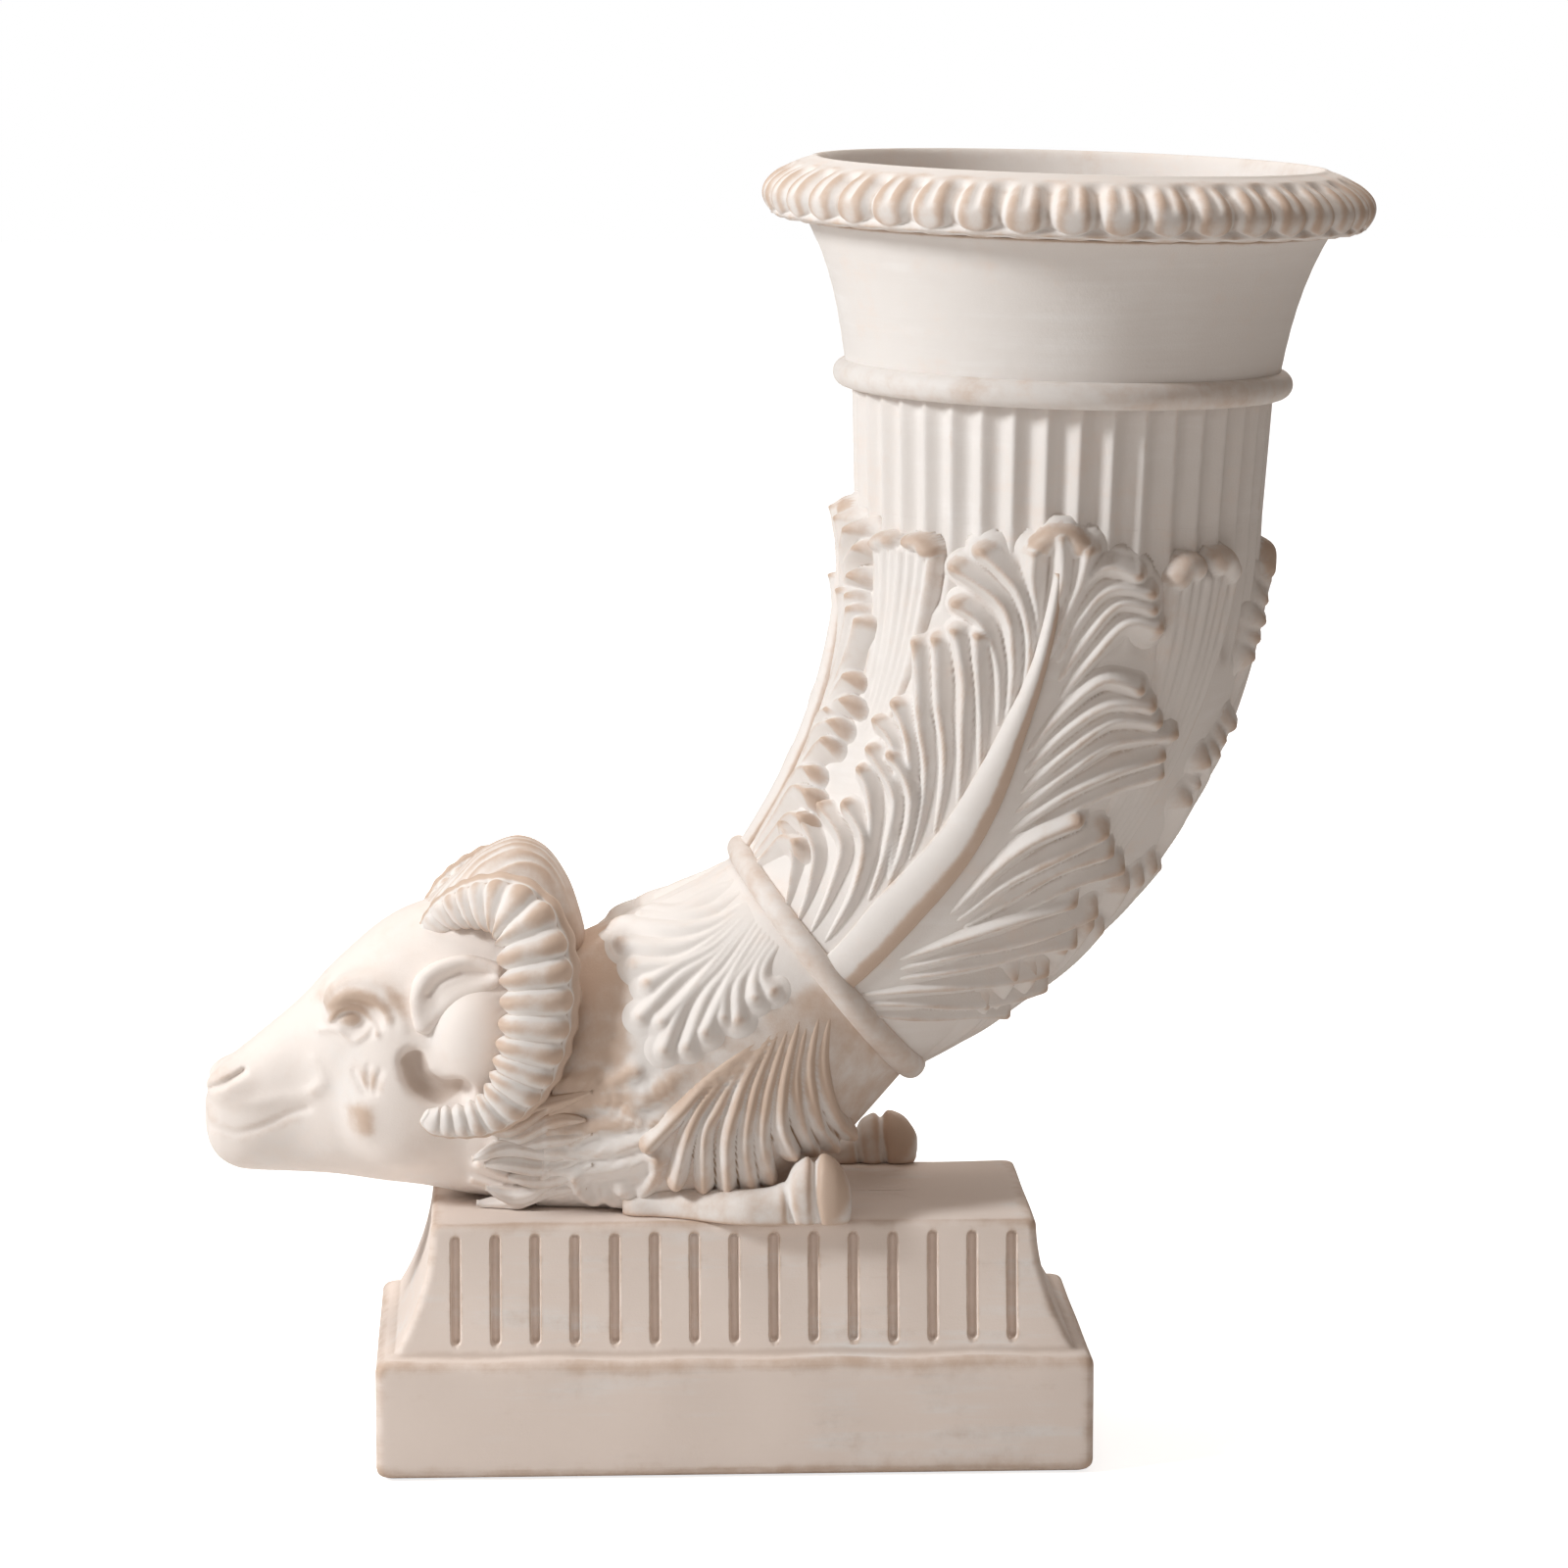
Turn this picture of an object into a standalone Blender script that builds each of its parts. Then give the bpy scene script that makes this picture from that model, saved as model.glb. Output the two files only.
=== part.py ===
"""Ram's-head rhyton vase: a drinking-horn vessel that ends in a lying ram, on a slotted plinth.

Every moulded piece is a separate solid, as it would lie on the bench before the pieces are
joined with slip: plinth, chest, head, horns, ears, forelegs, vessel, neck, mouth, rim and
the leaf sprigs. Metres, +Z up, +X from the ram towards the horn's mouth, -Y the front.
"""
import math

import bmesh
import bpy
import numpy as np
from mathutils import Vector

# Driving dimensions, in metres unless a name says otherwise
LUTE_GAP = 0.0003

PLINTH_X = -0.018
SLAB_LENGTH = 0.220
SLAB_DEPTH = 0.110
SLAB_HEIGHT = 0.037
SLAB_ROUND = 0.004
BLOCK_LENGTH = 0.186
BLOCK_DEPTH = 0.086
PLINTH_HEIGHT = 0.077
BLOCK_FLARE_POWER = 1.5
PLINTH_WALL = 0.010
SLOT_COUNT = 15
SLOT_PITCH = 0.0122
SLOT_WIDTH = 0.0030
SLOT_DEPTH = 0.0032
SLOT_MARGIN = 0.0050

BAND_X = 0.0123
BAND_HEIGHT = 0.0749
BAND_PITCH_DEG = 38.2
BAND_BEAD = 0.0040
HORN_FOOT_RADIUS = 0.0425
HORN_FOOT_REACH = 0.0623
NECK_FOOT_X = 0.0839
NECK_FOOT_HEIGHT = 0.2150
NECK_LEAN_DEG = 1.6
NECK_FOOT_RADIUS = 0.0630
NECK_FOOT_REACH = 0.0539
VESSEL_WALL = 0.0070
VESSEL_FLOOR = 0.0100

NECK_LENGTH = 0.0405
NECK_TOP_RADIUS = 0.0650
FLUTE_COUNT = 36
FLUTE_DEPTH = 0.0022
COLLAR_BEAD = 0.0050
MOUTH_LENGTH = 0.0465
MOUTH_FOOT_RADIUS = 0.0665
MOUTH_WALL = 0.0085
RIM_ROLL = 0.0104
RIM_OUTER_RADIUS = 0.0940
RIM_OVERHANG = 0.0135
RIM_SEAT = 0.0020
GADROON_COUNT = 40
GADROON_DEPTH = 0.0012

LEAF_THICKNESS = 0.0034
LEAF_EDGE = 0.0018
LEAF_START = 0.0070
LEAF_RISE = 0.1560
LEAF_TIP_CURL = 0.0075
LEAF_SPREAD_DEG = 40.0
LEAF_TIP_DEG = 6.0
LEAF_SHOULDER_SHARE = 0.45
LEAF_TAPER_POWER = 1.6
LEAF_LEAN_DEG = 10.0
LEAF_LOBES = 5
LEAF_LOBE_CUT = 0.22
LEAF_LOBE_RISE = 0.0036
LEAF_LOBE_ROW_SHARES = (0.03, 0.27, 0.51, 0.75, 0.97)
CHEST_LEAF_LOBES = 3
LEAF_CLEARANCE_DEG = 1.4
WATER_LEAF_START = 0.0780
WATER_LEAF_SPREAD_DEG = 17.0
NECK_LEAF_RUN_COUNT = (0.5, 3.5)
NECK_LEAF_TURN_DEG = (-46.0, -28.0)
NECK_LEAF_SPREAD_DEG = (36.0, 12.0)
SHOULDER_LEAF_RUN_COUNT = (0.5, 2.7)
SHOULDER_LEAF_TURN_DEG = (14.0, 22.0)
SHOULDER_LEAF_SPREAD_DEG = (20.0, 10.0)

CHEST_WIDTH = 0.090
CHEST_SINK = 0.004
NECK_JOINT_X = -0.074
NECK_JOINT_HEIGHT = 0.0405
NECK_JOINT_DEPTH = 0.0800
NECK_JOINT_WIDTH = 0.066
NECK_JOINT_SLANT = 0.012
BODY_WALL = 0.0090

MUZZLE_X = -0.1803
MUZZLE_HEIGHT = 0.0240
MUZZLE_DEPTH = 0.0300
MUZZLE_WIDTH = 0.0330
MUZZLE_TIP_WIDTH = 0.0185
MUZZLE_ROUND = 0.0040
NOSE_ARCH = 0.0030
BROW_X = -0.1270
BROW_HEIGHT = 0.0860
BROW_WIDTH = 0.0560
JAW_HEIGHT = 0.0050
POLL_X = -0.0880
POLL_HEIGHT = 0.1000
POLL_WIDTH = 0.0650
POLL_OVERHANG = 0.0090
BROW_OVERHANG = 0.0030
THROAT_FALL = 0.0010

CURL_X = -0.0955
CURL_HEIGHT = 0.0660
CURL_HALF_WIDTH = 0.0205
CURL_HALF_HEIGHT = 0.0360
CURL_ROOT_Y = 0.0200
CURL_OUT_Y = 0.0430
CURL_START_DEG = 136.0
CURL_SWEEP_DEG = 274.0
CURL_ROOT_RADIUS = 0.0118
CURL_TIP_RADIUS = 0.0036
CURL_RIBS = 17
CURL_RIB_DEPTH = 0.0009

EAR_LENGTH = 0.0260
EAR_WIDTH = 0.0110
EAR_THICKNESS = 0.0070
EAR_X = -0.1045
EAR_HEIGHT = 0.0705
EAR_Y = 0.0310
EAR_DROOP_DEG = 45.0
FORELOCK_LENGTH = 0.0520
FORELOCK_WIDTH = 0.0380
FORELOCK_TOP = 0.1130
FORELOCK_RISE = 0.0220
FORELOCK_X = -0.0880
FORELOCK_TILT_DEG = 20.0

LEG_Y = 0.0390
LEG_KNEE_X = -0.0740
LEG_LENGTH = 0.0730
LEG_RADIUS = 0.0068
KNEE_RADIUS = 0.0092
HOOF_LENGTH = 0.0200
HOOF_HEIGHT = 0.0245
HOOF_WIDTH = 0.0170
FAR_LEG_SHIFT = 0.0210

RING_SEGMENTS = 36
SHARP_ANGLE = math.radians(35)
CREAM = (0.78, 0.72, 0.62, 1.0)
TAN = (0.62, 0.46, 0.30, 1.0)
GLAZE_ROUGHNESS = 0.6

# Places worked out from the driving dimensions
BAND_CENTRE = Vector((BAND_X, 0.0, PLINTH_HEIGHT + BAND_HEIGHT))
NECK_FOOT = Vector((NECK_FOOT_X, 0.0, PLINTH_HEIGHT + NECK_FOOT_HEIGHT))
NECK_LEAN = math.radians(NECK_LEAN_DEG)
NECK_AXIS = Vector((math.sin(NECK_LEAN), 0.0, math.cos(NECK_LEAN)))
BAND_PITCH = math.radians(BAND_PITCH_DEG)
BAND_AXIS = Vector((math.cos(BAND_PITCH), 0.0, math.sin(BAND_PITCH)))
CHEST_FLOOR = PLINTH_HEIGHT + LUTE_GAP
MOUTH_TOP_RADIUS = RIM_OUTER_RADIUS - RIM_OVERHANG


# Scene, materials and small mesh tools
def empty_the_scene():
    for old in list(bpy.data.objects):
        bpy.data.objects.remove(old, do_unlink=True)


def collection(name):
    group = bpy.data.collections.get(name) or bpy.data.collections.new(name)
    if group.name not in bpy.context.scene.collection.children:
        bpy.context.scene.collection.children.link(group)
    return group


def fired_clay(name, colour):
    material = bpy.data.materials.new(name)
    material.use_nodes = True
    shader = material.node_tree.nodes["Principled BSDF"]
    shader.inputs["Base Color"].default_value = colour
    shader.inputs["Roughness"].default_value = GLAZE_ROUGHNESS
    shader.inputs["Metallic"].default_value = 0.0
    return material


def piece(name, mesh, colour=CREAM):
    mesh.name = name
    body = bpy.data.objects.new(name, mesh)
    body.data.materials.append(fired_clay(name + "_clay", colour))
    mesh.shade_smooth()
    mesh.set_sharp_from_angle(angle=SHARP_ANGLE)
    PARTS.objects.link(body)
    return body


def cutter(name, mesh):
    body = bpy.data.objects.new(name, mesh)
    body.hide_render = True
    body.display_type = "WIRE"
    CUTTERS.objects.link(body)
    return body


def cut(body, *tools):
    for tool in tools:
        boolean = body.modifiers.new("cut_" + tool.name, "BOOLEAN")
        boolean.operation = "DIFFERENCE"
        boolean.solver = "EXACT"
        boolean.object = tool


def closed_mesh(name, build):
    work = bmesh.new()
    build(work)
    bmesh.ops.recalc_face_normals(work, faces=work.faces)
    mesh = bpy.data.meshes.new(name)
    work.to_mesh(mesh)
    work.free()
    return mesh


def loft(name, rings, endless=False):
    """Skin a list of rings with equal point counts; the ends are capped unless it is endless."""
    def build(work):
        loops = [[work.verts.new(point) for point in ring] for ring in rings]
        pairs = list(zip(loops, loops[1:]))
        if endless:
            pairs.append((loops[-1], loops[0]))
        else:
            work.faces.new(loops[0])
            work.faces.new(loops[-1])
        for low, high in pairs:
            for k in range(len(low)):
                nxt = (k + 1) % len(low)
                work.faces.new((low[k], low[nxt], high[nxt], high[k]))
    return closed_mesh(name, build)


def sprig(name, outer, inner):
    """Close two equal grids of points, the show face and the back face, into one thin solid."""
    def build(work):
        show = [[work.verts.new(point) for point in row] for row in outer]
        back = [[work.verts.new(point) for point in row] for row in inner]
        rows, columns = len(show), len(show[0])
        for i in range(rows - 1):
            for j in range(columns - 1):
                for grid in (show, back):
                    work.faces.new((grid[i][j], grid[i][j + 1], grid[i + 1][j + 1], grid[i + 1][j]))
        border = [(0, j) for j in range(columns)]
        border += [(i, columns - 1) for i in range(1, rows)]
        border += [(rows - 1, j) for j in range(columns - 2, -1, -1)]
        border += [(i, 0) for i in range(rows - 2, 0, -1)]
        for (a, b), (c, d) in zip(border, border[1:] + border[:1]):
            work.faces.new((show[a][b], show[c][d], back[c][d], back[a][b]))
    return closed_mesh(name, build)


def turned(name, profile, steps, axis_foot):
    """Spin a closed profile of (radius, height) points about the leaning axis of the neck."""
    mesh = bpy.data.meshes.new(name)
    points = [(radius, 0.0, height) for radius, height in profile]
    edges = [(k, (k + 1) % len(points)) for k in range(len(points))]
    mesh.from_pydata(points, edges, [])
    body = bpy.data.objects.new(name, mesh)
    body.data.materials.append(fired_clay(name + "_clay", CREAM))
    PARTS.objects.link(body)
    spin = body.modifiers.new("spin", "SCREW")
    spin.steps = steps
    spin.render_steps = steps
    spin.use_merge_vertices = True
    spin.merge_threshold = 0.00001
    spin.use_smooth_shade = True
    body.location = axis_foot
    return body


def smooth_rise(t):
    t = min(max(t, 0.0), 1.0)
    return t * t * (3.0 - 2.0 * t)


def through(stations, u):
    """Catmull-Rom curve through evenly numbered stations, each a tuple of numbers."""
    table = np.array(stations, dtype=float)
    u = min(max(u, 0.0), len(table) - 1.0)
    k = min(int(u), len(table) - 2)
    t = u - k
    p0 = table[max(k - 1, 0)]
    p1 = table[k]
    p2 = table[k + 1]
    p3 = table[min(k + 2, len(table) - 1)]
    bend = (2 * p0 - 5 * p1 + 4 * p2 - p3) * t + (3 * p1 - p0 - 3 * p2 + p3) * t * t
    return p1 + 0.5 * t * ((p2 - p0) + bend)


# Plinth: a slab with a slotted, hollow-moulded block on it, open underneath
def rectangle(length, depth, height):
    half_x = length / 2
    half_y = depth / 2
    corners = ((-half_x, -half_y), (half_x, -half_y), (half_x, half_y), (-half_x, half_y))
    return [(PLINTH_X + x, y, height) for x, y in corners]


def block_inset(height):
    """How far the hollow moulding stands in from the slab's edge at a height, as a share."""
    depth_share = (PLINTH_HEIGHT - height) / (PLINTH_HEIGHT - SLAB_HEIGHT)
    return 1.0 - depth_share ** BLOCK_FLARE_POWER


def block_size(height):
    share = block_inset(height)
    foot_length = SLAB_LENGTH - SLAB_ROUND
    foot_depth = SLAB_DEPTH - SLAB_ROUND
    length = foot_length + (BLOCK_LENGTH - foot_length) * share
    depth = foot_depth + (BLOCK_DEPTH - foot_depth) * share
    return length, depth


def make_plinth():
    rings = []
    for turn in range(3):
        angle = math.radians(45 * turn)
        inset = SLAB_ROUND * (1 - math.sin(angle))
        height = SLAB_ROUND * (1 - math.cos(angle))
        rings.append(rectangle(SLAB_LENGTH - 2 * inset, SLAB_DEPTH - 2 * inset, height))
    rings.append(rectangle(SLAB_LENGTH, SLAB_DEPTH, SLAB_HEIGHT - SLAB_ROUND))
    steps = 8
    for k in range(steps + 1):
        height = SLAB_HEIGHT + (PLINTH_HEIGHT - SLAB_HEIGHT) * k / steps
        rings.append(rectangle(*block_size(height), height))
    plinth = piece("plinth", loft("plinth", rings))

    walls = 2 * PLINTH_WALL
    slab_hollow = (SLAB_LENGTH - walls, SLAB_DEPTH - walls)
    hollow = [rectangle(*slab_hollow, -PLINTH_WALL),
              rectangle(*slab_hollow, SLAB_HEIGHT - PLINTH_WALL),
              rectangle(BLOCK_LENGTH - walls, BLOCK_DEPTH - walls, PLINTH_HEIGHT - PLINTH_WALL)]
    cut(plinth, cutter("plinth_hollow", loft("plinth_hollow", hollow)), slot_cutters())
    return plinth


def slot_cutters():
    top = PLINTH_HEIGHT - SLOT_MARGIN
    foot = SLAB_HEIGHT + SLOT_MARGIN
    top_y = block_size(top)[1] / 2
    foot_y = block_size(foot)[1] / 2
    slope = math.atan2(foot_y - top_y, top - foot)
    length = math.hypot(foot_y - top_y, top - foot)
    tools = bmesh.new()
    for side in (-1, 1):
        for k in range(SLOT_COUNT):
            made = bmesh.ops.create_cube(tools, size=1.0)["verts"]
            bmesh.ops.scale(tools, vec=(SLOT_WIDTH, 2 * SLOT_DEPTH, length), verts=made)
            turn = Vector((0, (top_y + foot_y) / 2 * side, (top + foot) / 2))
            for vert in made:
                y = vert.co.y * math.cos(slope) - vert.co.z * math.sin(slope) * side
                z = vert.co.z * math.cos(slope) + vert.co.y * math.sin(slope) * side
                x = PLINTH_X + (k - (SLOT_COUNT - 1) / 2) * SLOT_PITCH
                vert.co = turn + Vector((vert.co.x + x, y, z))
    bmesh.ops.recalc_face_normals(tools, faces=tools.faces)
    mesh = bpy.data.meshes.new("slot_tools")
    tools.to_mesh(mesh)
    tools.free()
    return cutter("slot_tools", mesh)


# Vessel: a horn whose axis rises from the band in one bend and then stands straight
def bend_table():
    """Points of the bend from band to neck foot, with the length run so far at each."""
    low = BAND_CENTRE + BAND_AXIS * HORN_FOOT_REACH
    high = NECK_FOOT - NECK_AXIS * NECK_FOOT_REACH
    points = []
    samples = 200
    for k in range(samples + 1):
        t = k / samples
        weights = ((1 - t) ** 3, 3 * (1 - t) ** 2 * t, 3 * (1 - t) * t * t, t ** 3)
        corners = (BAND_CENTRE, low, high, NECK_FOOT)
        points.append(sum((w * c for w, c in zip(weights, corners)), Vector()))
    table = np.array([tuple(p) for p in points])
    runs = np.concatenate(([0.0], np.cumsum(np.linalg.norm(np.diff(table, axis=0), axis=1))))
    return table, runs


BEND_POINTS, BEND_RUNS = bend_table()
BEND_LENGTH = float(BEND_RUNS[-1])


def axis_point(s):
    if s >= BEND_LENGTH:
        return NECK_FOOT + NECK_AXIS * (s - BEND_LENGTH)
    if s <= 0.0:
        return BAND_CENTRE + BAND_AXIS * s
    return Vector([float(np.interp(s, BEND_RUNS, BEND_POINTS[:, k])) for k in range(3)])


def axis_direction(s):
    step = 0.001
    return (axis_point(s + step) - axis_point(s - step)).normalized()


def vessel_radius(s):
    share = min(max(s / BEND_LENGTH, 0.0), 1.0)
    swell = HORN_FOOT_RADIUS + (NECK_FOOT_RADIUS - HORN_FOOT_RADIUS) * (1 - (1 - share) ** 2)
    neck_share = max(s - BEND_LENGTH, 0.0) / NECK_LENGTH
    return swell + (NECK_TOP_RADIUS - NECK_FOOT_RADIUS) * neck_share


def vessel_point(s, angle, radius):
    """A point round the axis: angle 0 is the front, 90 degrees the outside of the bend."""
    along = axis_direction(s)
    outside = Vector((along.z, 0.0, -along.x))
    front = Vector((0.0, -1.0, 0.0))
    return axis_point(s) + (outside * math.sin(angle) + front * math.cos(angle)) * radius


def vessel_ring(s, radius, segments=RING_SEGMENTS):
    return [vessel_point(s, math.tau * k / segments, radius) for k in range(segments)]


def make_horn_vessel():
    foot = LUTE_GAP
    top = BEND_LENGTH - LUTE_GAP
    outer_steps = 12
    inner_steps = 9
    rings = []
    for k in range(outer_steps + 1):
        s = foot + (top - foot) * k / outer_steps
        rings.append(vessel_ring(s, vessel_radius(s)))
    floor = foot + VESSEL_FLOOR
    for k in range(inner_steps, -1, -1):
        s = floor + (top - floor) * k / inner_steps
        round_off = math.sqrt(1 - (1 - min(k / 2 + 0.25, 1.0)) ** 2)
        rings.append(vessel_ring(s, (vessel_radius(s) - VESSEL_WALL) * round_off))
    return piece("horn_vessel", loft("horn_vessel", rings))


def make_fluted_neck():
    segments = FLUTE_COUNT * 2
    rings = []
    for s, cut_share in ((BEND_LENGTH, 1.0), (BEND_LENGTH + NECK_LENGTH * 0.86, 1.0),
                         (BEND_LENGTH + NECK_LENGTH * 0.92, 0.0), (BEND_LENGTH + NECK_LENGTH, 0.0)):
        ring = []
        for k in range(segments):
            hollow = FLUTE_DEPTH * cut_share * (k % 2)
            angle = math.tau * k / segments
            ring.append(vessel_point(s, angle, vessel_radius(s) - hollow))
        rings.append(ring)
    for s in (BEND_LENGTH + NECK_LENGTH, BEND_LENGTH):
        rings.append(vessel_ring(s, vessel_radius(s) - VESSEL_WALL, segments))
    return piece("fluted_neck", loft("fluted_neck", rings, endless=True))


def half_round(inner_radius, bead):
    """Profile of a bead with a straight back: down its outer side, then up its back."""
    arc = [math.radians(90 - 45 * k) for k in range(5)]
    return [(inner_radius + bead * math.cos(a), bead * math.sin(a)) for a in arc]


def lean_with(body, axis):
    """Turn a spun piece so that its own Z lies along an axis of the vessel."""
    body.rotation_euler = axis.to_track_quat("Z", "Y").to_euler()


def make_neck_ring():
    seat = max(NECK_TOP_RADIUS, mouth_radius(COLLAR_BEAD / MOUTH_LENGTH)) + LUTE_GAP
    foot = axis_point(BEND_LENGTH + NECK_LENGTH)
    ring = turned("neck_ring", half_round(seat, COLLAR_BEAD), RING_SEGMENTS, foot)
    lean_with(ring, NECK_AXIS)


def make_horn_band():
    seat = max(vessel_radius(BAND_BEAD), HORN_FOOT_RADIUS) + 2 * LUTE_GAP
    ring = turned("horn_band", half_round(seat, BAND_BEAD), RING_SEGMENTS, BAND_CENTRE)
    lean_with(ring, BAND_AXIS)


def mouth_radius(share):
    return MOUTH_FOOT_RADIUS + (MOUTH_TOP_RADIUS - MOUTH_FOOT_RADIUS) * (0.55 * share + 0.45 * share ** 3)


def make_flared_mouth():
    steps = 6
    shares = [k / steps for k in range(steps, -1, -1)]
    outer = [(mouth_radius(t), MOUTH_LENGTH * t) for t in shares]
    inner = [(mouth_radius(t) - MOUTH_WALL, MOUTH_LENGTH * t) for t in reversed(shares)]
    foot = axis_point(BEND_LENGTH + NECK_LENGTH + LUTE_GAP)
    mouth = turned("flared_mouth", outer + inner, RING_SEGMENTS, foot)
    lean_with(mouth, NECK_AXIS)


def make_rim_moulding():
    """A thick rolled lip whose outer side is worked into upright tongues."""
    segments = GADROON_COUNT * 2
    seat = BEND_LENGTH + NECK_LENGTH + MOUTH_LENGTH + 2 * LUTE_GAP
    centre = seat + RIM_ROLL - RIM_SEAT
    points = 8
    rings = []
    for k in range(points):
        turn = math.tau * k / points - math.pi / 2
        ring = []
        for n in range(segments):
            outward = max(math.cos(turn), 0.0)
            hollow = GADROON_DEPTH * outward * (n % 2)
            radius = RIM_OUTER_RADIUS - RIM_ROLL + (RIM_ROLL - hollow) * math.cos(turn)
            s = max(centre + (RIM_ROLL - hollow) * math.sin(turn), seat)
            ring.append(vessel_point(s, math.tau * n / segments, radius))
        rings.append(ring)
    return piece("rim_moulding", loft("rim_moulding", rings, endless=True))


# Leaf sprigs on the vessel: four lobed acanthus leaves with plain water leaves between them
def acanthus_half_angle(t):
    beyond = max(t - LEAF_SHOULDER_SHARE, 0.0) / (1 - LEAF_SHOULDER_SHARE)
    taper = 1 - beyond ** LEAF_TAPER_POWER
    return math.radians(LEAF_TIP_DEG + (LEAF_SPREAD_DEG - LEAF_TIP_DEG) * taper)


def acanthus_outline(t):
    lobe = 0.5 + 0.5 * math.cos(math.tau * LEAF_LOBES * t)
    return acanthus_half_angle(t) * (1 - LEAF_LOBE_CUT * lobe * (1 - t))


def water_outline(t):
    room = math.radians(45.0 - LEAF_CLEARANCE_DEG) - acanthus_half_angle(t)
    own = math.radians(WATER_LEAF_SPREAD_DEG) * math.sqrt(max(1 - t ** 6, 0.04))
    return min(room, own)


def acanthus_rows():
    """Shares of the leaf's length at its rows: every lobe swells to its end, then drops to the next."""
    rows = [(lobe + share) / LEAF_LOBES for lobe in range(LEAF_LOBES) for share in LEAF_LOBE_ROW_SHARES]
    return [0.0, *rows[1:-1], 1.0]


def lobe_rise(t, v):
    """Height of the lobes beside the midrib, a share t along the leaf and v across it."""
    lobe = LEAF_LOBES * t
    grown = lobe - math.ceil(lobe - 1) if t > 0 else 0.0
    return LEAF_LOBE_RISE * grown ** 1.5 * math.sqrt(max(math.sin(math.pi * abs(v)), 0.0))


def water_rows():
    start = WATER_LEAF_START / LEAF_RISE
    return [start + (1 - start) * k / 8 for k in range(9)]


def vessel_leaf(name, angle_deg, outline, rows, columns, lean=0.0, swell=0.0, rise=None):
    """Lay a leaf on the vessel; near its foot it leans aside or swells by the given degrees."""
    outer = []
    inner = []
    for t in rows:
        s = LEAF_START + LEAF_RISE * t
        curl = LEAF_TIP_CURL * smooth_rise((t - 0.82) / 0.18)
        foot_share = max(1 - LEAF_RISE * t / WATER_LEAF_START, 0.0) ** 1.5
        half = outline(t) + math.radians(swell) * foot_share
        middle = math.radians(angle_deg + lean * foot_share)
        back = (vessel_radius(s) + LUTE_GAP) / math.cos(half / columns) + curl
        shown = []
        hidden = []
        for j in range(columns + 1):
            v = 2 * j / columns - 1
            angle = middle + v * half
            relief = LEAF_EDGE + (LEAF_THICKNESS - LEAF_EDGE) * (1 - v * v)
            if rise:
                relief += rise(t, v)
            shown.append(vessel_point(s, angle, back + relief))
            hidden.append(vessel_point(s, angle, back))
        outer.append(shown)
        inner.append(hidden)
    return piece(name, sprig(name, outer, inner))


def make_vessel_leaves():
    lean = LEAF_LEAN_DEG
    for name, angle, aside, swell in (("front", 0, lean, 0), ("outer", 90, 0, -lean),
                                      ("back", 180, -lean, 0), ("inner", 270, 0, lean)):
        vessel_leaf("acanthus_leaf_" + name, angle, acanthus_outline, acanthus_rows(), 8,
                    aside, swell, lobe_rise)
    for name, angle in (("front_outer", 45), ("back_outer", 135), ("back_inner", 225), ("front_inner", 315)):
        vessel_leaf("water_leaf_" + name, angle, water_outline, water_rows(), 4)


# Ram's chest and neck: one hollow press-moulding from the band to the head joint
def chest_stations():
    """Per station: top x, top z, foot x, foot z and half width of a cross-section.

    Each middle station lies a share along the top and the foot, has fallen a share of the way
    to the plinth, and is a share of the full width.
    """
    up = Vector((-BAND_AXIS.z, 0.0, BAND_AXIS.x))
    collar = HORN_FOOT_RADIUS
    foot = BAND_CENTRE - BAND_AXIS * LUTE_GAP
    top = foot + up * collar
    low = foot - up * collar
    base = PLINTH_HEIGHT - CHEST_SINK
    joint_top_x = NECK_JOINT_X + NECK_JOINT_SLANT / 2
    joint_foot_x = NECK_JOINT_X - NECK_JOINT_SLANT / 2
    joint_top = PLINTH_HEIGHT + NECK_JOINT_HEIGHT + NECK_JOINT_DEPTH / 2
    half = CHEST_WIDTH / 2
    rows = [(top.x, top.z, low.x, low.z, collar)]
    drops = ((0.20, 0.22, 0.62, 1.5), (0.42, 0.42, 1.0, 1.0), (0.62, 0.64, 1.0, 0.97), (0.82, 0.84, 1.0, 0.88))
    for along, foot_along, fall, spread in drops:
        rows.append((top.x + (joint_top_x - top.x) * along,
                     top.z + (joint_top - top.z) * along ** 0.8,
                     low.x + (joint_foot_x - low.x) * foot_along,
                     low.z + (base - low.z) * fall,
                     min(half * spread, half)))
    rows.append((joint_top_x, joint_top, joint_foot_x, base, NECK_JOINT_WIDTH / 2))
    return rows


def section_point(station, angle, grow, square=2.4):
    """A point of a rounded section: angle 0 is the front, 90 degrees its foot."""
    top = Vector((station[0], 0.0, station[1]))
    foot = Vector((station[2], 0.0, station[3]))
    centre = (top + foot) / 2
    down = (foot - top).normalized()
    half_height = (foot - top).length / 2 + grow
    half_width = station[4] + grow
    c = math.cos(angle)
    s = math.sin(angle)
    across = math.copysign(abs(c) ** (2 / square), c) * half_width
    drop = math.copysign(abs(s) ** (2 / square), s) * half_height
    return centre + Vector((0.0, -across, 0.0)) + down * drop


def chest_point(u, angle, grow):
    square = 2.0 + 0.5 * smooth_rise(u / 2)
    return section_point(through(chest_stations(), u), angle, grow, square)


def body_rings(stations, first, last, steps, grow, segments, floor):
    rings = []
    for k in range(steps + 1):
        u = first + (last - first) * k / steps
        station = through(stations, u)
        square = 2.0 + 0.5 * smooth_rise(u / 2)
        ring = [section_point(station, math.tau * n / segments, grow, square) for n in range(segments)]
        rings.append([Vector((p.x, p.y, max(p.z, floor))) for p in ring])
    return rings


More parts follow.
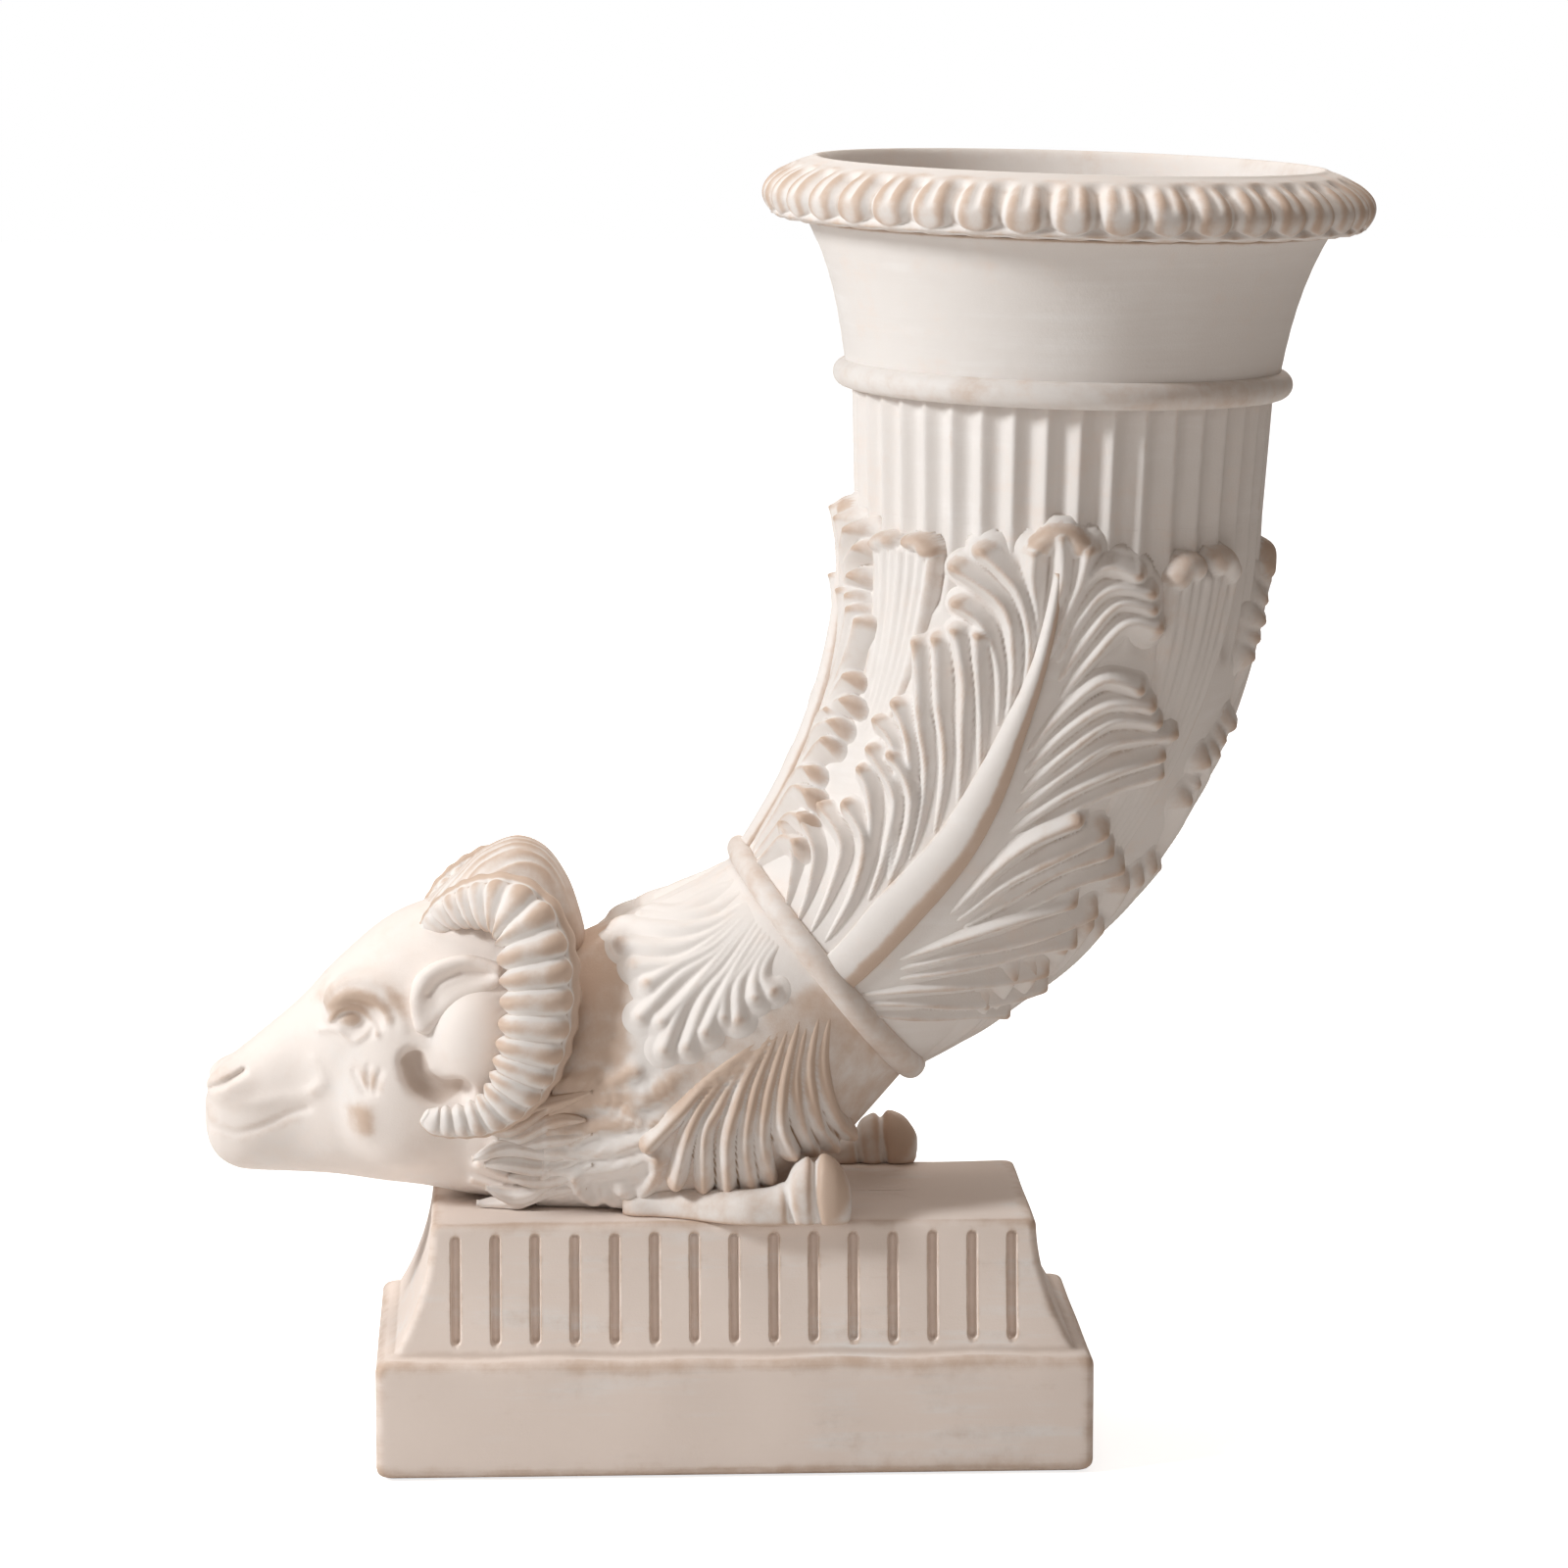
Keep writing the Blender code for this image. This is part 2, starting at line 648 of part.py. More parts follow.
def make_ram_chest():
    stations = chest_stations()
    last = len(stations) - 1.0
    rings = body_rings(stations, 0.0, last, 10, 0.0, 24, CHEST_FLOOR)
    chest = piece("ram_chest", loft("ram_chest", rings))
    hollow = body_rings(stations, 1.2, last - 0.55, 6, -BODY_WALL, 20, CHEST_FLOOR - BODY_WALL)
    for ring in hollow:
        for point in ring:
            if point.z < CHEST_FLOOR + BODY_WALL:
                point.z = CHEST_FLOOR - BODY_WALL
    cut(chest, cutter("chest_hollow", loft("chest_hollow", hollow)))
    grown = body_rings(stations, 0.0, last, 10, LUTE_GAP, 24, CHEST_FLOOR - LUTE_GAP)
    return cutter("chest_room", loft("chest_room", grown))


def chest_leaf(name, side, run, angles, spreads, grow=0.0):
    """A lobed leaf laid on the chest between two stations; it points to the head or foot."""
    outer = []
    inner = []
    rows = 10
    columns = 6
    margin = math.degrees(grow / (CHEST_WIDTH / 2))
    for i in range(rows + 1):
        t = i / rows
        u = run[0] + (run[1] - run[0]) * t
        middle = angles[0] + (angles[1] - angles[0]) * t
        lobe = 0.5 + 0.5 * math.cos(math.tau * CHEST_LEAF_LOBES * t)
        taper = spreads[0] + (spreads[1] - spreads[0]) * t * t
        spread = taper * (1 - LEAF_LOBE_CUT * lobe * (1 - t)) + margin
        back = LUTE_GAP + CHEST_WIDTH / 2 * (1 / math.cos(math.radians(spread) / columns) - 1)
        shown = []
        hidden = []
        for j in range(columns + 1):
            v = 2 * j / columns - 1
            angle = math.radians(middle + v * spread)
            relief = LEAF_EDGE + (LEAF_THICKNESS - LEAF_EDGE) * (1 - v * v)
            for row, lift in ((shown, back + relief + grow), (hidden, back - grow)):
                point = chest_point(u, angle, lift)
                row.append(Vector((point.x, point.y * side, point.z)))
        outer.append(shown)
        inner.append(hidden)
    return sprig(name, outer, inner)


def make_chest_leaves():
    rooms = []
    for name, side in (("left", 1), ("right", -1)):
        lie = (NECK_LEAF_RUN_COUNT, NECK_LEAF_TURN_DEG, NECK_LEAF_SPREAD_DEG)
        piece("neck_leaf_" + name, chest_leaf("neck_leaf", side, *lie))
        lie = (SHOULDER_LEAF_RUN_COUNT, SHOULDER_LEAF_TURN_DEG, SHOULDER_LEAF_SPREAD_DEG)
        piece("shoulder_leaf_" + name, chest_leaf("shoulder_leaf", side, *lie))
        rooms.append(cutter("leaf_room_" + name, chest_leaf("leaf_room", side, *lie, grow=LUTE_GAP)))
    return rooms


# Ram's head: a hollow moulding from the neck joint to the muzzle
def head_stations():
    joint = chest_stations()[-1]
    jaw = PLINTH_HEIGHT + JAW_HEIGHT
    gap = 2 * LUTE_GAP
    brow_z = PLINTH_HEIGHT + BROW_HEIGHT
    poll_z = PLINTH_HEIGHT + POLL_HEIGHT
    nose_top = PLINTH_HEIGHT + MUZZLE_HEIGHT + MUZZLE_DEPTH / 2
    nose_foot = PLINTH_HEIGHT + MUZZLE_HEIGHT - MUZZLE_DEPTH / 2
    reach = BROW_X - MUZZLE_X
    joint_row = (joint[0] - gap, joint[1], joint[2] - gap, CHEST_FLOOR + gap, joint[4])
    poll_row = (POLL_X, poll_z, POLL_X - POLL_OVERHANG, jaw - THROAT_FALL, POLL_WIDTH / 2)
    crown_x = (POLL_X + BROW_X) / 2
    crown_foot_x = crown_x - (POLL_OVERHANG + BROW_OVERHANG) / 2
    crown_row = (crown_x, (poll_z + brow_z) / 2, crown_foot_x, jaw, (POLL_WIDTH + BROW_WIDTH) / 4)
    brow_row = (BROW_X, brow_z, BROW_X - BROW_OVERHANG, jaw + THROAT_FALL, BROW_WIDTH / 2)
    rows = [joint_row, poll_row, crown_row, brow_row]
    for share, spread in ((0.36, 0.45), (0.66, 0.12), (0.89, -0.06)):
        x = BROW_X - reach * share
        width = MUZZLE_WIDTH + (BROW_WIDTH - MUZZLE_WIDTH) * spread
        top = brow_z + (nose_top + NOSE_ARCH - brow_z) * share
        rows.append((x, top, x, jaw + THROAT_FALL + NOSE_ARCH * share, width / 2))
    rows.append((MUZZLE_X, nose_top - MUZZLE_ROUND, MUZZLE_X + MUZZLE_ROUND / 2,
                 nose_foot + MUZZLE_ROUND, MUZZLE_TIP_WIDTH / 2))
    return rows


def make_ram_head():
    stations = head_stations()
    last = len(stations) - 1.0
    rings = body_rings(stations, 0.0, last, 14, 0.0, 22, 0.0)
    head = piece("ram_head", loft("ram_head", rings))
    hollow = body_rings(stations, 0.0, last - 2.4, 7, -BODY_WALL, 16, 0.0)
    for point in hollow[0]:
        point.x += BODY_WALL
    cut(head, cutter("head_hollow", loft("head_hollow", hollow)))
    grown = body_rings(stations, 0.0, last, 14, LUTE_GAP, 22, 0.0)
    return cutter("head_room", loft("head_room", grown))


# Curled horns, ears and forelock
def curl_centre(share, side):
    turn = math.radians(CURL_START_DEG - CURL_SWEEP_DEG * share)
    y = CURL_ROOT_Y + (CURL_OUT_Y - CURL_ROOT_Y) * smooth_rise(share / 0.45)
    return Vector((CURL_X + CURL_HALF_WIDTH * math.cos(turn), y * side,
                   PLINTH_HEIGHT + CURL_HEIGHT + CURL_HALF_HEIGHT * math.sin(turn)))


def curl_mesh(name, side, grow, ribbed):
    rows = CURL_RIBS * 2
    segments = 10
    rings = []
    step = 0.002
    for k in range(rows + 1):
        share = k / rows
        along = (curl_centre(share + step, side) - curl_centre(share - step, side)).normalized()
        flank = Vector((0.0, 1.0, 0.0))
        flank = (flank - along * flank.dot(along)).normalized()
        rise = along.cross(flank)
        groove = CURL_RIB_DEPTH * (k % 2) if ribbed else 0.0
        radius = CURL_ROOT_RADIUS + (CURL_TIP_RADIUS - CURL_ROOT_RADIUS) * share ** 2.2 - groove + grow
        centre = curl_centre(share, side)
        rings.append([centre + (flank * math.cos(math.tau * n / segments)
                                + rise * math.sin(math.tau * n / segments)) * radius
                      for n in range(segments)])
    return loft(name, rings)


def make_curled_horns(head_room, chest_room):
    rooms = []
    for name, side in (("left", -1), ("right", 1)):
        horn = piece("curled_horn_" + name, curl_mesh("curled_horn", side, 0.0, True))
        cut(horn, head_room, chest_room)
        rooms.append(cutter("horn_room_" + name, curl_mesh("horn_room", side, LUTE_GAP, False)))
    return rooms


def ellipsoid(name, length, width, thickness, turn, place):
    work = bmesh.new()
    bmesh.ops.create_uvsphere(work, u_segments=14, v_segments=9, radius=0.5)
    bmesh.ops.scale(work, vec=(length, thickness, width), verts=work.verts)
    for vert in work.verts:
        x = vert.co.x * math.cos(turn) - vert.co.z * math.sin(turn)
        z = vert.co.x * math.sin(turn) + vert.co.z * math.cos(turn)
        vert.co = place + Vector((x, vert.co.y, z))
    mesh = bpy.data.meshes.new(name)
    work.to_mesh(mesh)
    work.free()
    return mesh


def make_ears(head_room, horn_rooms):
    for name, side, horn_room in (("left", -1, horn_rooms[0]), ("right", 1, horn_rooms[1])):
        place = Vector((EAR_X, EAR_Y * side, PLINTH_HEIGHT + EAR_HEIGHT))
        mesh = ellipsoid("ear", EAR_LENGTH, EAR_WIDTH, EAR_THICKNESS, math.radians(EAR_DROOP_DEG), place)
        ear = piece("ear_" + name, mesh)
        cut(ear, head_room, horn_room)


def make_forelock(head_room, chest_room, horn_rooms):
    place = Vector((FORELOCK_X, 0.0, PLINTH_HEIGHT + FORELOCK_TOP - FORELOCK_RISE))
    tilt = math.radians(FORELOCK_TILT_DEG)
    mesh = ellipsoid("forelock", FORELOCK_LENGTH, 2 * FORELOCK_RISE, FORELOCK_WIDTH, tilt, place)
    lock = piece("forelock", mesh, TAN)
    cut(lock, head_room, chest_room, *horn_rooms)


# Folded forelegs: each lies along the plinth's top edge with its hoof turned back
def make_forelegs(chest_room, leaf_rooms):
    floor = CHEST_FLOOR
    for name, side, shift, leaf_room in (("left", -1, 0.0, leaf_rooms[0]),
                                         ("right", 1, FAR_LEG_SHIFT, leaf_rooms[1])):
        knee = LEG_KNEE_X + shift
        ankle = knee + LEG_LENGTH
        hoof_top = HOOF_HEIGHT / 2
        rows = ((knee, KNEE_RADIUS * 0.45, KNEE_RADIUS * 0.45, KNEE_RADIUS),
                (knee + KNEE_RADIUS, KNEE_RADIUS, KNEE_RADIUS, KNEE_RADIUS),
                (knee + 0.4 * LEG_LENGTH, LEG_RADIUS, LEG_RADIUS, LEG_RADIUS),
                (knee + 0.8 * LEG_LENGTH, LEG_RADIUS, LEG_RADIUS, LEG_RADIUS),
                (ankle, LEG_RADIUS * 1.1, LEG_RADIUS * 1.15, LEG_RADIUS * 1.15),
                (ankle + 0.25 * HOOF_LENGTH, HOOF_WIDTH / 2, hoof_top * 0.92, hoof_top * 0.92),
                (ankle + 0.8 * HOOF_LENGTH, HOOF_WIDTH / 2, hoof_top, hoof_top),
                (ankle + HOOF_LENGTH, HOOF_WIDTH * 0.36, hoof_top * 0.72, hoof_top))
        rings = []
        steps = 14
        segments = 14
        for k in range(steps + 1):
            x, half_width, half_height, middle = through(rows, (len(rows) - 1) * k / steps)
            ring = []
            for n in range(segments):
                angle = math.tau * n / segments
                z = max(floor + middle + half_height * math.sin(angle), floor)
                ring.append(Vector((x, side * LEG_Y + half_width * math.cos(angle), z)))
            rings.append(ring)
        leg = piece("foreleg_" + name, loft("foreleg", rings))
        cut(leg, chest_room, leaf_room)


empty_the_scene()
PARTS = collection("rams_head_vase")
CUTTERS = collection("cutters")
make_plinth()
make_horn_vessel()
make_horn_band()
make_fluted_neck()
make_neck_ring()
make_flared_mouth()
make_rim_moulding()
make_vessel_leaves()
chest_room_tool = make_ram_chest()
leaf_room_tools = make_chest_leaves()
head_room_tool = make_ram_head()
horn_room_tools = make_curled_horns(head_room_tool, chest_room_tool)
make_ears(head_room_tool, horn_room_tools)
make_forelock(head_room_tool, chest_room_tool, horn_room_tools)
make_forelegs(chest_room_tool, leaf_room_tools)
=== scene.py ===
"""The looks of a ram's-head horn vase: cream-washed clay, rubbed back to tan on every raised edge."""

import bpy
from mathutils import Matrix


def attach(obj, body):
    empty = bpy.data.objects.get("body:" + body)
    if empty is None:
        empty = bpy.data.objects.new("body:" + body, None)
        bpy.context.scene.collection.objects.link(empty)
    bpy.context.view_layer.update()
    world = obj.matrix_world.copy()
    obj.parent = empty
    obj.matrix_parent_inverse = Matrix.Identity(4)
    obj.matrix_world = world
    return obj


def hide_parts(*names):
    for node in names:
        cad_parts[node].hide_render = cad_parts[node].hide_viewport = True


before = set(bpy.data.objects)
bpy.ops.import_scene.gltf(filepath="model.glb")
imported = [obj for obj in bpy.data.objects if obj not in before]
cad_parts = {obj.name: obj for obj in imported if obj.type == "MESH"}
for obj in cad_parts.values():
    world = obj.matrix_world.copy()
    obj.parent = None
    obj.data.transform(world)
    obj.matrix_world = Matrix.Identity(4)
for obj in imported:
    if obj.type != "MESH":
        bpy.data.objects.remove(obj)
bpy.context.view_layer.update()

import math

import bpy
import numpy as np
import openvdb
from mathutils import Vector

# Plinth. A cast slab with a hollow-moulded block on it, its long sides cut with fifteen upright
# slots. The cream wash is brushed along its length and rubbed through to tan clay on the arrises.
# Sizes are in millimetres, with the ram looking along -x and its left flank to the front.
MM = 0.001
PLINTH_X = -18
SLAB_LENGTH = 220
SLAB_DEPTH = 110
SLAB_HEIGHT = 37
SLAB_ROUND = 3.6
BLOCK_LENGTH = 186
BLOCK_DEPTH = 86
PLINTH_HEIGHT = 77
PLINTH_WALL = 10
BLOCK_ROUND = 2
FLARE_POWER = 2
FLARE_LENGTH = 12
FLARE_DEPTH = 6.5
FLARE_FROM = 0.975
CORNER_ROUND = 2.6
SLOT_COUNT = 15
SLOT_PITCH = 12.2
SLOT_HALF_WIDTH = 1.45
SLOT_DEPTH = 3
SLOT_MARGIN = 5
SLOT_COLUMNS = np.array((-2.6, -2, -1.7, -1.45, -1.2, -0.6, 0, 0.6, 1.2, 1.45, 1.7, 2, 2.6))
SLOT_ROWS = np.array((-2.2, -1.4, -0.8, -0.3, 0.2, 0.7, 1.3, 2.1))
TOP_INSETS = (5, 10, 20, 30, 38)
HAND_WOBBLE = 0.35


class Wash:
    """A socket of a clay's shader, so that sums on masks read as Python."""

    def __init__(self, tree, socket=None):
        self.tree = tree
        self.socket = socket

    def node(self, kind, settings=None, inputs=None, output=0):
        """Add a node: its settings first, then the values or links of its sockets."""
        made = self.tree.nodes.new("ShaderNode" + kind)
        for name, value in (settings or {}).items():
            setattr(made, name, value)
        for name, value in (inputs or {}).items():
            if isinstance(value, Wash):
                self.tree.links.new(value.socket, made.inputs[name])
            else:
                made.inputs[name].default_value = value
        return Wash(self.tree, made.outputs[output] if len(made.outputs) else None)

    def maths(self, operation, *values):
        return self.node("Math", {"operation": operation}, dict(enumerate(values)))

    def __add__(self, other):
        return self.maths("ADD", self, other)

    __radd__ = __add__

    def __sub__(self, other):
        return self.maths("SUBTRACT", self, other)

    def __rsub__(self, other):
        return self.maths("SUBTRACT", other, self)

    def __mul__(self, other):
        return self.maths("MULTIPLY", self, other)

    __rmul__ = __mul__

    def between(self, low, high):
        """0 below low, 1 above high, smooth in between."""
        return self.node("MapRange", {"interpolation_type": "SMOOTHSTEP"},
                         {"Value": self, "From Min": low, "From Max": high})

    def noise(self, place, scale, detail=4, rough=0.55):
        """Cloudy noise, less its mean, so that it runs from about -0.5 to 0.5."""
        cloud = self.node("TexNoise", None,
                          {"Vector": place, "Scale": scale, "Detail": detail, "Roughness": rough})
        return cloud - 0.5

    def stretched(self, place, scale):
        return self.node("VectorMath", {"operation": "MULTIPLY"}, {0: place, 1: scale})

    def mixed(self, share, low, high):
        """A colour between two, by a mask."""
        return self.node("Mix", {"data_type": "RGBA"}, {0: share, 6: low, 7: high}, 2)


CREAM = (0.840, 0.796, 0.764, 1)
CHALK = (0.885, 0.853, 0.830, 1)
PEACH = (0.865, 0.755, 0.685, 1)
PALE_PEACH = (0.905, 0.830, 0.780, 1)
TAN = (0.600, 0.435, 0.325, 1)
UMBER = (0.400, 0.275, 0.190, 1)
CLOUDS_PER_METRE = 24
MOTTLES_PER_METRE = 130
GRAINS_PER_METRE = 1500


def aged_clay(name, tan, brush, streak, grime_and_shade, cream=CREAM, chalk=CHALK):
    """Fired clay under a cream wash: tan where it stands proud, umber in the hollows as dirt and as painted
    shade.

    tan adds or takes away rubbing, brush gives the wash's brush marks per metre along x, y and z.
    """
    material = bpy.data.materials.new(name)
    material.use_nodes = True
    material.node_tree.nodes.clear()
    wash = Wash(material.node_tree)
    place = wash.node("TexCoord", output=3)
    proud = wash.node("Attribute", {"attribute_name": "wear_and_shade"}, output=2)
    cloud = wash.noise(place, CLOUDS_PER_METRE, 5)
    mottle = wash.noise(place, MOTTLES_PER_METRE, 6, 0.62)
    grain = wash.noise(place, GRAINS_PER_METRE, 3)
    brushed = wash.noise(wash.stretched(place, brush), 1, 5, 0.6)
    rub = (proud * 0.95 + cloud * 1.1 + mottle * 0.9 + brushed * streak + tan).between(0.12, 0.95)
    # Umber in the hollows: part dirt, part painted shade that darkens grooves and recesses.
    dust_and_shade = (mottle * 0.8 - proud - 0.12).between(0.1, 1) * grime_and_shade
    fresh = (cloud * 1.6 + brushed * 1.4).between(0, 0.6)
    blush = (cloud * -2.2 + mottle * 1.6 + brushed * (streak * 2)).between(0, 0.9)
    body = wash.mixed(fresh, cream, chalk)
    body = wash.mixed(blush * 0.75, body, PEACH)
    body = wash.mixed(rub * 0.85, body, TAN)
    body = wash.mixed(dust_and_shade, body, UMBER)
    height = grain * 0.25 + mottle * 0.5 + brushed * 0.5
    bump = wash.node("Bump", None, {"Strength": 0.35, "Distance": 0.0006, "Height": height})
    gloss = 0.62 - rub * 0.10 + mottle * 0.12
    shader = wash.node("BsdfPrincipled", None,
                       {"Base Color": body, "Roughness": gloss, "Normal": bump, "Specular IOR Level": 0.35})
    wash.node("OutputMaterial", None, {"Surface": shader})
    return material


def grid_quads(rows, columns, wrap=False, wrap_rows=False):
    """Quads over points numbered row by row; wrap closes each row, wrap_rows the last to the first."""
    i, j = np.meshgrid(np.arange(rows if wrap_rows else rows - 1),
                       np.arange(columns if wrap else columns - 1), indexing="ij")
    i_next = (i + 1) % rows
    j_next = (j + 1) % columns
    corners = (i * columns + j, i * columns + j_next, i_next * columns + j_next, i_next * columns + j)
    return np.stack(corners, -1).reshape(-1, 4)


def tube_shell(rings):
    """Close a stack of rings with a fan at each end; the rings have an even count of points."""
    rows, columns = rings.shape[:2]
    count = rows * columns
    k = np.arange(0, columns, 2)
    spokes = np.stack([(k + step) % columns for step in (2, 1, 0)], -1)
    low = np.column_stack([np.full(len(k), count), spokes])
    high = np.column_stack([np.full(len(k), count + 1), spokes[:, ::-1] + count - columns])
    points = np.concatenate([rings.reshape(-1, 3), [rings[0].mean(0), rings[-1].mean(0)]])
    return points, np.concatenate([grid_quads(rows, columns, wrap=True), low, high])


def ring_shell(rings):
    """Close rings end to end, as in a bead or a hollow wall."""
    rows, columns = rings.shape[:2]
    return rings.reshape(-1, 3), grid_quads(rows, columns, wrap=True, wrap_rows=True)


def turns(count):
    """Angles once round, as one row."""
    return np.linspace(0, math.tau, count, endpoint=False)[None, :]


def quad_edges(faces):
    return np.concatenate([faces[:, [k, (k + 1) % 4]] for k in range(4)])


def facing_out(points, faces):
    """Turn a closed shell's quads so that they face out."""
    a, b, c, d = (points[faces[:, k]] for k in range(4))
    volume = np.einsum("ij,ij->i", a, np.cross(b, c) + np.cross(c, d)).sum()
    return faces if volume > 0 else faces[:, ::-1]


def proud_of(points, faces, normals, reach):
    """How far each point stands out from its surroundings, softened over a reach in millimetres."""
    first, second = quad_edges(faces).T
    count = len(points)
    step = np.median(np.linalg.norm(points[first] - points[second], axis=1))
    rounds = int(np.clip(2 * (reach / step) ** 2, 1, 40))
    degree = np.maximum(np.bincount(first, minlength=count), 1)[:, None]
    soft = points.copy()
    for _ in range(rounds):
        near = np.stack([np.bincount(first, soft[second, k], count) for k in range(3)], 1)
        soft = 0.4 * soft + 0.6 * near / degree
    return np.einsum("ij,ij->i", points - soft, normals)


WEAR_REACH = 2
WEAR_LIMIT = 1.5


def lay_piece(name, shells, clay, node, full_wear=0.65, stain=None, calm=None):
    """Make one piece of closed shells in millimetres, mark where it is rubbed and where shade is painted, and
    enter it.

    A shell is its points and quads, with extra rubbing and painted shade at each point where it has a third
    item;
    full_wear is the height that is rubbed bare, stain gives extra rubbing and painted shade by place and calm
    a factor.
    """
    points = np.concatenate([shell[0] for shell in shells])
    starts = np.cumsum([0] + [len(shell[0]) for shell in shells])
    faces = np.concatenate([facing_out(*shell[:2]) + start for shell, start in zip(shells, starts)])
    extra = np.concatenate([shell[2] if len(shell) > 2 else np.zeros(len(shell[0])) for shell in shells])
    mesh = bpy.data.meshes.new(name)
    mesh.from_pydata((points * MM).tolist(), [], faces.tolist())
    mesh.shade_smooth()
    normals = np.empty(len(points) * 3)
    mesh.vertex_normals.foreach_get("vector", normals)
    wear_and_shade = proud_of(points, faces, normals.reshape(-1, 3), WEAR_REACH) / full_wear + extra
    if calm:
        wear_and_shade = wear_and_shade * calm(points)
    if stain:
        wear_and_shade = wear_and_shade + stain(points)
    wear_and_shade = np.clip(wear_and_shade, -WEAR_LIMIT, WEAR_LIMIT)
    mesh.attributes.new("wear_and_shade", "FLOAT", "POINT").data.foreach_set("value", wear_and_shade)
    mesh.materials.append(clay)
    made = bpy.data.objects.new(name, mesh)
    bpy.context.collection.objects.link(made)
    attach(made, "root")
    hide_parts(node)


def ease(t):
    """A smooth step from 0 to 1."""
    t = np.clip(t, 0, 1)
    return t * t * (3 - 2 * t)


def window(t, low, way_in, high, way_out):
    """1 between low and high, eased in after the one and out before the other."""
    return ease((t - low) / way_in) * ease((high - t) / way_out)


def wobble(points, pitch):
    """Slow hand-made unevenness, from -1 to 1, of about the given pitch in millimetres."""
    x, y, z = np.moveaxis(points / pitch * math.tau, -1, 0)
    first = np.sin(0.83 * x + 0.47 * y + 1.3) * np.sin(0.71 * z - 0.35 * y + 0.4)
    second = np.sin(1.37 * y - 0.58 * z + 2.1) * np.sin(1.13 * x + 0.66 * z + 5.2)
    return (first + second) / 1.6


def plinth_ring(half_length, half_depth, height, along, across):
    """A rectangle with rounded corners; along and across are shares from -1 to 1 of its sides."""
    past = max(half_length - BLOCK_LENGTH / 2, 0)
    flare = past * np.clip((np.abs(along) - FLARE_FROM) / (1 - FLARE_FROM), 0, 1)
    x = along * (min(half_length, BLOCK_LENGTH / 2) - CORNER_ROUND) + np.sign(along) * flare
    y = across * (half_depth - CORNER_ROUND)
    turn = np.radians(np.linspace(0, 90, 6))[1:-1]
    outline = []
    for quarter, (sign_x, sign_y) in enumerate(((1, -1), (1, 1), (-1, 1), (-1, -1))):
        if quarter % 2 == 0:
            side = (sign_x * x, np.full(len(x), sign_y * half_depth))
        else:
            side = (np.full(len(y), sign_x * half_length), sign_y * y)
        swing = turn + math.pi / 2 * (quarter - 1)
        corner = (sign_x * (half_length - CORNER_ROUND) + CORNER_ROUND * np.cos(swing),
                  sign_y * (half_depth - CORNER_ROUND) + CORNER_ROUND * np.sin(swing))
        outline += [np.column_stack(side), np.column_stack(corner)]
    flat = np.concatenate(outline)
    return np.column_stack([flat[:, 0] + PLINTH_X, flat[:, 1], np.full(len(flat), height)])


def round_rows(half_length, half_depth, top, radius, steps):
    """Rows of half length, half depth and height over a rounded upper edge."""
    turn = np.radians(np.linspace(0, 90, steps))
    inset = radius * (1 - np.cos(turn))
    return list(zip(half_length - inset, half_depth - inset, top - radius * (1 - np.sin(turn))))


def block_row(height):
    drop = np.clip((PLINTH_HEIGHT - height) / (PLINTH_HEIGHT - SLAB_HEIGHT), 0, 1) ** FLARE_POWER
    return BLOCK_LENGTH / 2 + FLARE_LENGTH * drop, BLOCK_DEPTH / 2 + FLARE_DEPTH * drop, height


def clean_top(points):
    """The block's top is washed evenly inside its arris."""
    x, y, z = points.T
    inside = np.maximum(np.abs(x - PLINTH_X) - BLOCK_LENGTH / 2, np.abs(y) - BLOCK_DEPTH / 2)
    return 1 - ease((z - PLINTH_HEIGHT + 1.5) / 0.5) * ease((-inside - 2) / 3)


